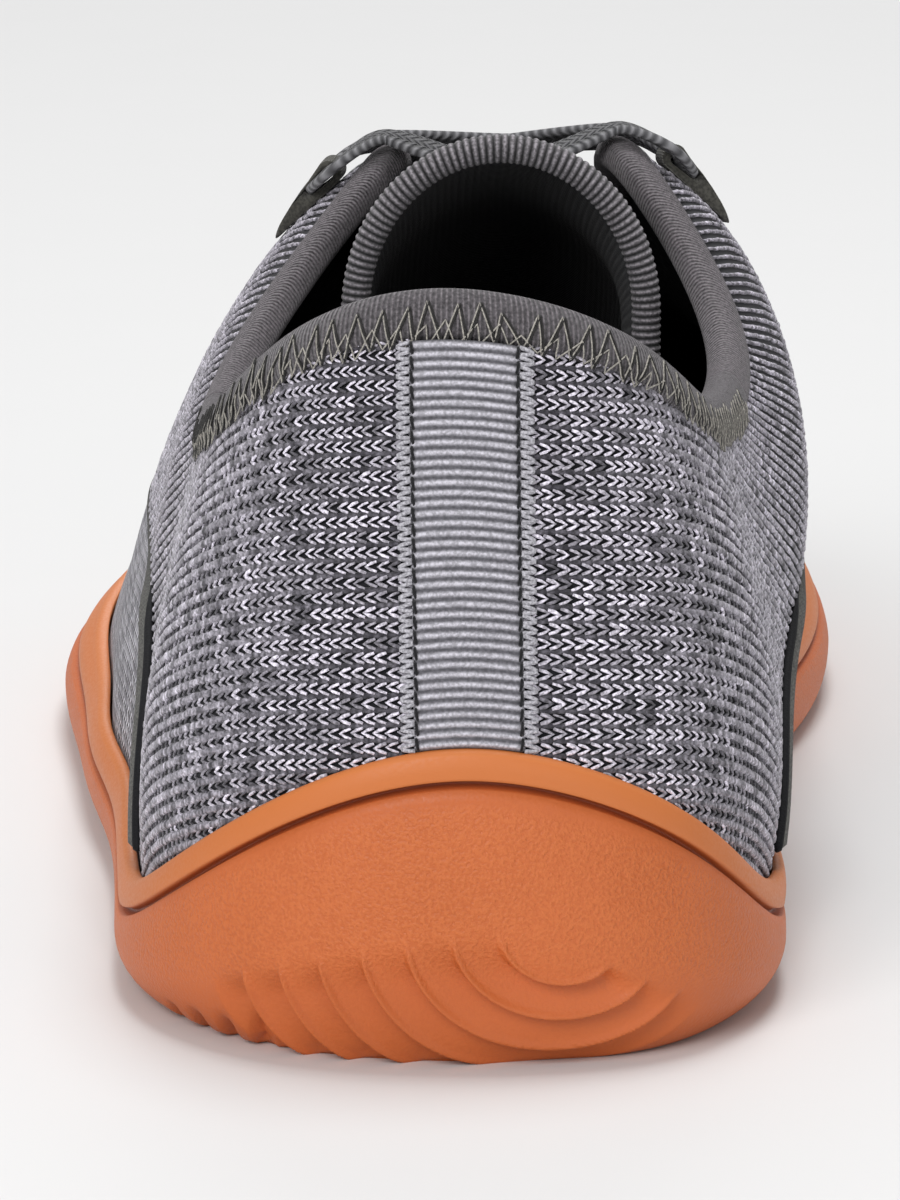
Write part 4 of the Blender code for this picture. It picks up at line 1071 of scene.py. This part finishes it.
# round section along the arch, its radius waving once for each rib
def makeTongueRoll():
    size = tongueShape
    across = np.linspace(-1, 1, size["archPlaces"])
    outer, inner = (tongueGrid(tongueSections[:1], across, inward)[0] for inward in (0.0, size["wall"]))
    middle = (outer + inner) / 2
    run = runAlong(middle)
    even = np.linspace(0, run[-1], int(run[-1] / size["ribPitch"] * size["ribPoints"]))
    middle = readBetween(even, run, middle)
    thick = readBetween(even, run, outer - inner)
    radius = size["roll"] / 2
    ends = np.sqrt(smoothStep(np.minimum(even, run[-1] - even), *size["rollEnds"]))
    wave = np.abs(np.sin(np.pi * even / size["ribPitch"]))**size["ribPower"]
    half = (radius - size["ribDepth"] * (1 - wave)) * ends
    back = np.broadcast_to(np.array([0, 1.0, 0]), middle.shape)
    path = middle - back * (radius + size["gap"])
    points = tubePoints(path, unit(thick), back, half, half, size["corners"])[None]
    turn = np.linspace(0, np.pi * size["roll"], size["corners"])
    cloth = pairMap((even + size["ribPitch"] / 2)[:, None], turn)
    addTubes("tongueRoll", points, rollFinish, cloth, nodes=["tongue_binding"])


makeTongue()
makeTongueRoll()
print("tongue made")

# heel tape with its ribs, looped edges and two sewn lines

heelTape = {
    "width": 14.0, "gap": 0.3, "thick": 0.75, "aboveRim": 0.2, "belowBinding": 0.4, "backShare": 0.3,
    "ribs": 41, "ribPoints": 10, "ribDepth": 0.26, "across": 25, "body": 0.82,
    "edgeThin": 0.95, "edgePower": 14,
    "loopIn": 0.80, "loopOut": 1.0, "loopThread": 0.24, "loopLift": 0.5, "loopPoints": 8, "loopCorners": 6,
    "loopStart": 0.12, "loopShare": 0.76, "loopPower": 0.8,
    "stitchAt": 0.765, "stitches": 27, "stitchShare": 0.78, "stitchLean": 0.012, "stitchPoints": 7,
    "stitchProud": 0.06, "stitchDip": 0.35, "stitchCorners": 8, "thread": 0.16,
}


# shares across and up the tape turned into ring and rib places, the width held at its real size
def tapePlaces(across, upward):
    half = across * heelTape["width"] / 2
    low = ribTAtHeight(half, stationsAt(half)["rimZ"] + heelTape["aboveRim"])
    high = ribTBelowTop(half, last["bindingHeight"] + heelTape["belowBinding"])
    t = low + upward * (high - low)
    edge = heelTape["width"] / 2
    span = np.linalg.norm(upperPoints(edge, t) - upperPoints(-edge, t), axis=-1)
    return half * heelTape["width"] / span, t


# the same rows of places on the tape's left and right
def bothEdges(across, upward):
    across, upward = np.broadcast_arrays(across, upward)
    return tapePlaces(np.concatenate([-across, across]), np.concatenate([upward, upward]))


# ribs are waves up the tape, flatter towards both edges
def makeHeelTape():
    size = heelTape
    upward = np.linspace(0, 1, size["ribs"] * size["ribPoints"] + 1)[:, None]
    across = np.linspace(-1, 1, size["across"])[None, :]
    wave = np.abs(np.sin(np.pi * size["ribs"] * upward))
    edge = np.sqrt(np.clip(1 - size["edgeThin"] * np.abs(across)**size["edgePower"], 0, 1))
    front = size["gap"] + (size["thick"] - size["ribDepth"] * (1 - wave)) * edge
    across, upward = np.broadcast_arrays(across * size["body"], upward)
    u, t = tapePlaces(across, upward)
    outer = onUpper(u, t, front)
    inner = onUpper(u, t, size["gap"] * size["backShare"])
    cloth = pairMap(across * size["width"] / 2, upward * size["ribs"] - 0.5)
    addSheet("heelTape", outer, inner, tapeFinish, cloth, "heel_tape")


# one small loop of yarn for each rib, out to the tape's edge and back
def makeTapeLoops():
    size = heelTape
    share = np.linspace(0, 1, size["loopPoints"])[None, :]
    out = np.sin(np.pi * share)
    upward = (np.arange(size["ribs"])[:, None] + size["loopStart"] + size["loopShare"] * share) / size["ribs"]
    reach = size["loopIn"] + (size["loopOut"] - size["loopIn"]) * out**size["loopPower"]
    lifted = size["gap"] + size["loopLift"] * (1 - 0.5 * out)
    u, t = bothEdges(reach, upward)
    addThreads("tapeLoops", u, t, lifted, size["loopThread"], size["loopCorners"], paleThread)


# short black threads that dip into the tape at both ends
def makeTapeStitches():
    size = heelTape
    bend = np.linspace(-1, 1, size["stitchPoints"])[None, :]
    middle = np.arange(size["stitches"])[:, None] + 0.5
    upward = (middle + bend * size["stitchShare"] / 2) / size["stitches"]
    off = size["gap"] + size["thick"] + size["stitchProud"] - size["stitchDip"] * bend**4
    u, t = bothEdges(size["stitchAt"] + size["stitchLean"] * bend, upward)
    addThreads("tapeStitches", u, t, off, size["thread"], size["stitchCorners"], blackThread)


makeHeelTape()
makeTapeLoops()
makeTapeStitches()
print("heel tape made")

# side bands, each with a black piping cord along its back edge

sideBand = {
    "gap": 0.3, "thick": 0.8, "levels": 90, "across": 15, "tilt": 0.55, "edgeThin": 0.9, "edgePower": 8,
    "flush": 0.8, "flushFrom": 0.38, "flushTo": 0.52,
    "piping": 0.6, "pipingBack": 0.3, "pipingOut": 0.45, "pipingSink": 2.0, "pipingTaper": 0.6,
    "pipingEnds": (-0.002, 0.015), "pipingCorners": 10,
}


# shares along the band's line, and a width across it, turned into ring and rib places
def bandPlaces(side, share, width):
    along = share * (len(bandLine) - 1)
    y, height = (np.interp(along, np.arange(len(bandLine)), column) for column in bandLine.T)
    u = placeByEdge("edgeY", side, y + width)
    return u, ribTAtHeight(u, height)


# the band lies proud behind the widest part of the side, then sinks almost flush with the knit
def bandFlush(share):
    return smoothStep(share, sideBand["flushFrom"], sideBand["flushTo"])


# a strip along the band's line: gap and thickness off the upper, tilted, thinner at both edges
def makeSideBand(side):
    size = sideBand
    share = np.linspace(0, 1, size["levels"])[:, None]
    across = np.linspace(-1, 1, size["across"])[None, :]
    share, across = np.broadcast_arrays(share, across)
    width = across * knitUpper["bandWidth"] / 2
    u, t = bandPlaces(side, share, width)
    rounded = np.sqrt(np.clip(1 - size["edgeThin"] * across**size["edgePower"], 0, 1))
    front = size["gap"] + (size["thick"] + size["tilt"] * across) * rounded
    outer = onUpper(u, t, front * (1 - size["flush"] * bandFlush(share)))
    inner = onUpper(u, t, -size["gap"])
    cloth = pairMap(width, runAlong(outer[:, size["across"] // 2])[:, None])
    addSheet("sideBand" + side.capitalize(), outer, inner, bandFinish, cloth, "side_band_" + side)


# a round cord just behind the band, thinner and deeper where the band sinks
def makePiping(side):
    size = sideBand
    share = np.linspace(0, 1, size["levels"])[None]
    u, t = bandPlaces(side, share, -knitUpper["bandWidth"] / 2 - size["pipingBack"])
    sunk = bandFlush(share)
    off = size["pipingOut"] * (1 - size["pipingSink"] * sunk)
    ends = np.sqrt(smoothStep(np.minimum(share, 1 - share), *size["pipingEnds"]))
    half = size["piping"] * (1 - size["pipingTaper"] * sunk) * ends
    addThreads("piping" + side.capitalize(), u, t, off, half, size["pipingCorners"], pipingFinish)


for side in sides:
    makeSideBand(side)
    makePiping(side)
print("side bands made")

# webbing loops in pairs along the throat, and the flat lace through them

laceLoop = {
    "rows": 4, "firstY": 168.0, "lastY": 116.0, "setback": 12.5, "gap": 0.3, "corners": 40,
    "length": 11.5, "height": 3.4, "width": 5.0, "tail": 0.2,
    "eyeUp": 2.6, "eyeOut": 1.5, "eyeLength": 3.9, "eyeHeight": 1.45,
    # across the webbing, and through it: 0 inside, 1 outside
    "section": (
        (-1, 0.5), (-0.97, 0.85), (-0.86, 1), (-0.3, 1), (0.3, 1), (0.86, 1), (0.97, 0.85),
        (1, 0.5), (0.97, 0.15), (0.86, 0), (0.3, 0), (-0.3, 0), (-0.86, 0), (-0.97, 0.15),
    ),
}


# rows of loops at even steps along the throat
def rowY(row):
    return laceLoop["firstY"] + (laceLoop["lastY"] - laceLoop["firstY"]) * row / (laceLoop["rows"] - 1)


# point on the upper under a loop, and the ways along the throat, up to its edge and out
def loopSeat(side, row):
    u = placeByEdge("topY", side, rowY(row))
    seat, along, _, out = upperFrame(u, ribTBelowTop(u, laceLoop["setback"]))
    return seat, along, np.cross(out, along), out


# how far the upper falls away from a loop's flat seat, some millimetres towards the throat's edge
def seatDrop(side, row, climb):
    u = placeByEdge("topY", side, rowY(row)) + 0 * climb
    seat, _, _, out = loopSeat(side, row)
    return (upperPoints(u, ribTBelowTop(u, laceLoop["setback"] - climb)) - seat) @ out


# flat oval with round ends, as distances along and across it
def loopOutline(halfLength, halfHeight):
    angle = (np.arange(laceLoop["corners"]) + 0.5) * 2 * np.pi / laceLoop["corners"]
    along = np.sign(np.cos(angle)) * (halfLength - halfHeight) + halfHeight * np.cos(angle)
    return np.array([along, halfHeight * np.sin(angle)])


# each point of the section lies between the inner and outer ovals, shifted across the webbing
def makeLoop(side, row):
    size = laceLoop
    seat, along, upward, out = loopSeat(side, row)
    outer = loopOutline(size["length"] / 2, size["height"] / 2)
    taper = size["tail"] + (1 - size["tail"]) * (0.5 + outer[0] / size["length"])
    outer[1] = (outer[1] + size["height"] / 2) * taper
    eye = np.array([[size["eyeUp"]], [size["eyeOut"]]])
    inner = loopOutline(size["eyeLength"] / 2, size["eyeHeight"] / 2) + eye
    section = np.array(size["section"])
    oval = inner + section[:, 1, None, None] * (outer - inner)
    proud = size["gap"] + oval[:, 1] + seatDrop(side, row, oval[:, 0])
    width = section[:, :1] * size["width"] / 2
    points = seat + oval[:, 0, :, None] * upward + proud[..., None] * out + width[..., None] * along
    cloth = pairMap(width, np.linspace(0, 2 * size["length"], size["corners"]))
    faces = gridFaces(len(section), size["corners"], True, True)
    name = "laceLoop" + side.capitalize() + str(row + 1)
    addPiece(name, points, faces, [webbingFinish], cloth, nodes=[f"lace_loop_{side}_{row + 1}"])


for side in sides:
    for row in range(laceLoop["rows"]):
        makeLoop(side, row)
print("lace loops made")

flatLace = {
    "width": 6.0, "thick": 1.2, "squareness": (0.5, 0.6), "corners": 20, "bunched": 0.55,
    "ride": 2.2, "step": 0.35, "edgeIn": 0.8, "runOut": 6.5, "turn": 3.1, "topRun": 3.0, "sag": 3.2,
    "tightness": 0.38, "parts": 14,
    # shares of the way across the throat where the strand has a station
    "firstBar": (0.4, 0.7, 1.0), "crossing": (0.0, 0.5, 1.0), "lastBar": (0.0, 0.3, 0.6),
}
otherSide = {"medial": "lateral", "lateral": "medial"}


# place for the lace above the throat's edge, and the direction its flat side faces
def throatEdge(side, y, raised):
    u = placeByEdge("topY", side, y)
    point, _, _, out = upperFrame(u, ribTBelowTop(u, flatLace["edgeIn"]))
    return point + (flatLace["ride"] + raised) * out, out


# one strand from the lowest bar up to the highest: point, facing and share of the full width at each station
def laceStations(side, raised):
    size = flatLace
    found = []

    def cross(fromSide, fromY, toY, shares, sag=0.0):
        for share in shares:
            y = fromY + (toY - fromY) * share
            ends = [throatEdge(name, y, raised) for name in (fromSide, otherSide[fromSide])]
            point, face = (a + share * (b - a) for a, b in zip(*ends))
            point = point - stack(0, 0, sag * 4 * share * (1 - share))
            width = (1 + size["bunched"]) / 2 if share in (0.0, 1.0) else 1.0
            found.append((*point, *unit(face), width))

    lowY = laceLoop["firstY"] + size["runOut"]
    cross(otherSide[side], lowY, lowY, size["firstBar"])
    for row in range(laceLoop["rows"]):
        seat, along, upward, out = loopSeat(side, row)
        ankleward = -along if side == "medial" else along
        proud = laceLoop["gap"] + laceLoop["eyeOut"] + seatDrop(side, row, laceLoop["eyeUp"])
        middle = seat + proud * out + laceLoop["eyeUp"] * upward
        mouth = laceLoop["width"] / 2
        turn = mouth + size["turn"]
        for run, rise in ((-turn, size["turn"]), (-mouth, 0), (mouth, 0), (turn, size["turn"])):
            found.append((*(middle + run * ankleward + rise * upward), *out, size["bunched"]))
        if row < laceLoop["rows"] - 1:
            cross(side, rowY(row) - size["runOut"], rowY(row + 1) + size["runOut"], size["crossing"])
            side = otherSide[side]
    highY = laceLoop["lastY"] - size["topRun"]
    cross(side, highY, highY, size["lastBar"], size["sag"])
    return smoothPath(found, size["tightness"], size["parts"])


# flat rounded section along each strand, gathered where a loop holds it
def makeLace():
    size = flatLace
    strands = np.stack([laceStations("lateral", 0.0), laceStations("medial", size["step"])])
    path = strands[..., :3]
    tangent = unit(np.gradient(path, axis=1))
    wide = unit(np.cross(tangent, strands[..., 3:6]))
    face = np.cross(wide, tangent)
    angle = np.linspace(0, 2 * np.pi, size["corners"], endpoint=False)
    waves = zip((np.cos(angle), np.sin(angle)), size["squareness"])
    flat, thick = (np.sign(wave) * np.abs(wave)**power for wave, power in waves)
    half = strands[..., 6] * size["width"] / 2
    points = path[..., None, :] + (half[..., None] * flat)[..., None] * wide[..., None, :]
    points = points + (size["thick"] / 2 * thick)[:, None] * face[..., None, :]
    run = runAlong(path, axis=1)
    print("lace strands, mm:", np.round(run[:, -1], 1).tolist())
    cloth = pairMap(run[..., None], flat * size["width"] / 2)
    addTubes("flatLace", points, braidFinish, cloth, nodes=["lace"])


makeLace()
print("lace made")

# footbed in the cup

footbed = {
    "clearance": 1.2, "crown": 0.4, "crownRise": 0.06, "heelStep": 1.5, "sideStep": 2.5, "round": 0.9,
    "lowShares": (0.5, 0.3, 0.1, 0.02, 0.0), "highShares": (0.0, 0.02, 0.06, 0.12, 0.2, 0.3, 0.4, 0.5),
}


# rings from the middle of the underside out to the edge, then back over the crowned top
def makeFootbed():
    size = footbed
    u = ringColumns(knitUpper["heelStretch"], size["heelStep"], size["sideStep"])
    inset = last["upperWall"] + size["clearance"]

    def edgeRings(places):
        low = upperPoints(places, 0.0) - inset * outward(places)
        low[:, 2] = last["solePlate"] + last["gap"] + lift(low[:, 0], low[:, 1])
        topZ = low[:, 2] + last["insole"]
        high = onUpper(places, ribTAtHeight(places, topZ), -inset)
        high[:, 2] = topZ
        return low, high

    low, high = edgeRings(u)
    lowPartner, highPartner = edgeRings(partnerU(u))
    rings = [low + share * (lowPartner - low) for share in size["lowShares"]]
    for share in size["highShares"]:
        ring = high + share * (highPartner - high)
        ring[:, 2] += size["crown"] * smoothStep(share, 0, size["crownRise"]) - size["round"] * (share == 0.0)
        rings.append(ring)
    points = np.stack(rings)
    faces = gridFaces(len(rings), len(u))
    addPiece("footbed", points, faces, [liningFinish], points[..., :2], nodes=["insole"])


makeFootbed()
print("footbed made")

# pale floor, soft lights and the camera at the photograph's angle

stageSetup = {
    "floorSize": 12.0, "floorScale": 40.0, "worldStrength": 0.40, "lightAim": (-0.003, 0.0, 0.04),
    "floorColours": ((0.72, 0.72, 0.72, 1), (0.7128, 0.7128, 0.7128, 1)),
    # place, size and watts of each soft light; all face the heel
    "lights": (
        ((0.10, 0.20, 1.40), 0.6, 11.0),
        ((-0.60, -1.30, 0.85), 0.9, 14.5),
        ((0.70, -1.40, 0.35), 0.9, 2.5),
        ((0.0, 1.70, 1.10), 1.0, 8.0),
    ),
}
photoView = {
    "aim": (-0.003, -0.046, 0.040), "distance": 0.80, "elevation": 12.5,
    # picture pixels: the aim, the middle of the shoe, and pixels for one radian
    "aimPixel": (253, 843), "middlePixel": (256, 792), "pixelsPerRadian": 3750.0,
    "enlarge": 2.05, "longSide": 1200, "sensor": 36.0, "farthest": 50.0,
}


# an object in the scene that looks from a place towards an aim
def addAimed(name, data, place, aim):
    made = bpy.data.objects.new(name, data)
    made.location = place
    made.rotation_euler = (Vector(aim) - Vector(place)).to_track_quat("-Z", "Y").to_euler()
    bpy.context.scene.collection.objects.link(made)
    return made


def makeFloor():
    half = stageSetup["floorSize"] / 2
    corners = [(-half, -half, 0), (half, -half, 0), (half, half, 0), (-half, half, 0)]
    mesh = bpy.data.meshes.new("floor")
    mesh.from_pydata(corners, [], [(0, 1, 2, 3)])
    made, tree = newFinish("floorPaper", {"Roughness": 0.9})
    noise = noiseOver(tree, stageSetup["floorScale"], 2.0)
    mesh.materials.append(endFinish(made, mixColour(tree, noise, *stageSetup["floorColours"])))
    floor = bpy.data.objects.new("floor", mesh)
    bpy.context.scene.collection.objects.link(floor)


def makeLights():
    world = bpy.data.worlds.new("studio")
    world.use_nodes = True
    background = world.node_tree.nodes["Background"]
    background.inputs["Color"].default_value = (1, 1, 1, 1)
    background.inputs["Strength"].default_value = stageSetup["worldStrength"]
    bpy.context.scene.world = world
    for number, (place, size, watts) in enumerate(stageSetup["lights"]):
        lamp = bpy.data.lights.new(f"softbox{number + 1}", "AREA")
        lamp.shape = "DISK"
        lamp.size = size
        lamp.energy = watts
        light = addAimed(lamp.name, lamp, place, stageSetup["lightAim"])


# the camera stands where the picture was taken from, turned to the shoe's middle and zoomed in on it
def makeCamera():
    view = photoView
    slope = math.radians(view["elevation"])
    aim = Vector(view["aim"])
    place = aim + Vector((0, -math.cos(slope), math.sin(slope))) * view["distance"]
    pixel = view["distance"] / view["pixelsPerRadian"]
    turnRight = (view["middlePixel"][0] - view["aimPixel"][0]) * pixel
    turnUp = (view["aimPixel"][1] - view["middlePixel"][1]) * pixel
    aim = aim + Vector((turnRight, math.sin(slope) * turnUp, math.cos(slope) * turnUp))
    lens = bpy.data.cameras.new("photoCamera")
    lens.sensor_width = view["sensor"]
    lens.lens = view["enlarge"] * view["pixelsPerRadian"] / view["longSide"] * view["sensor"]
    lens.clip_end = view["farthest"]
    bpy.context.scene.camera = addAimed("photoCamera", lens, place, aim)


makeFloor()
makeLights()
makeCamera()
bpy.context.scene.view_settings.view_transform = "Standard"
print("stage set")
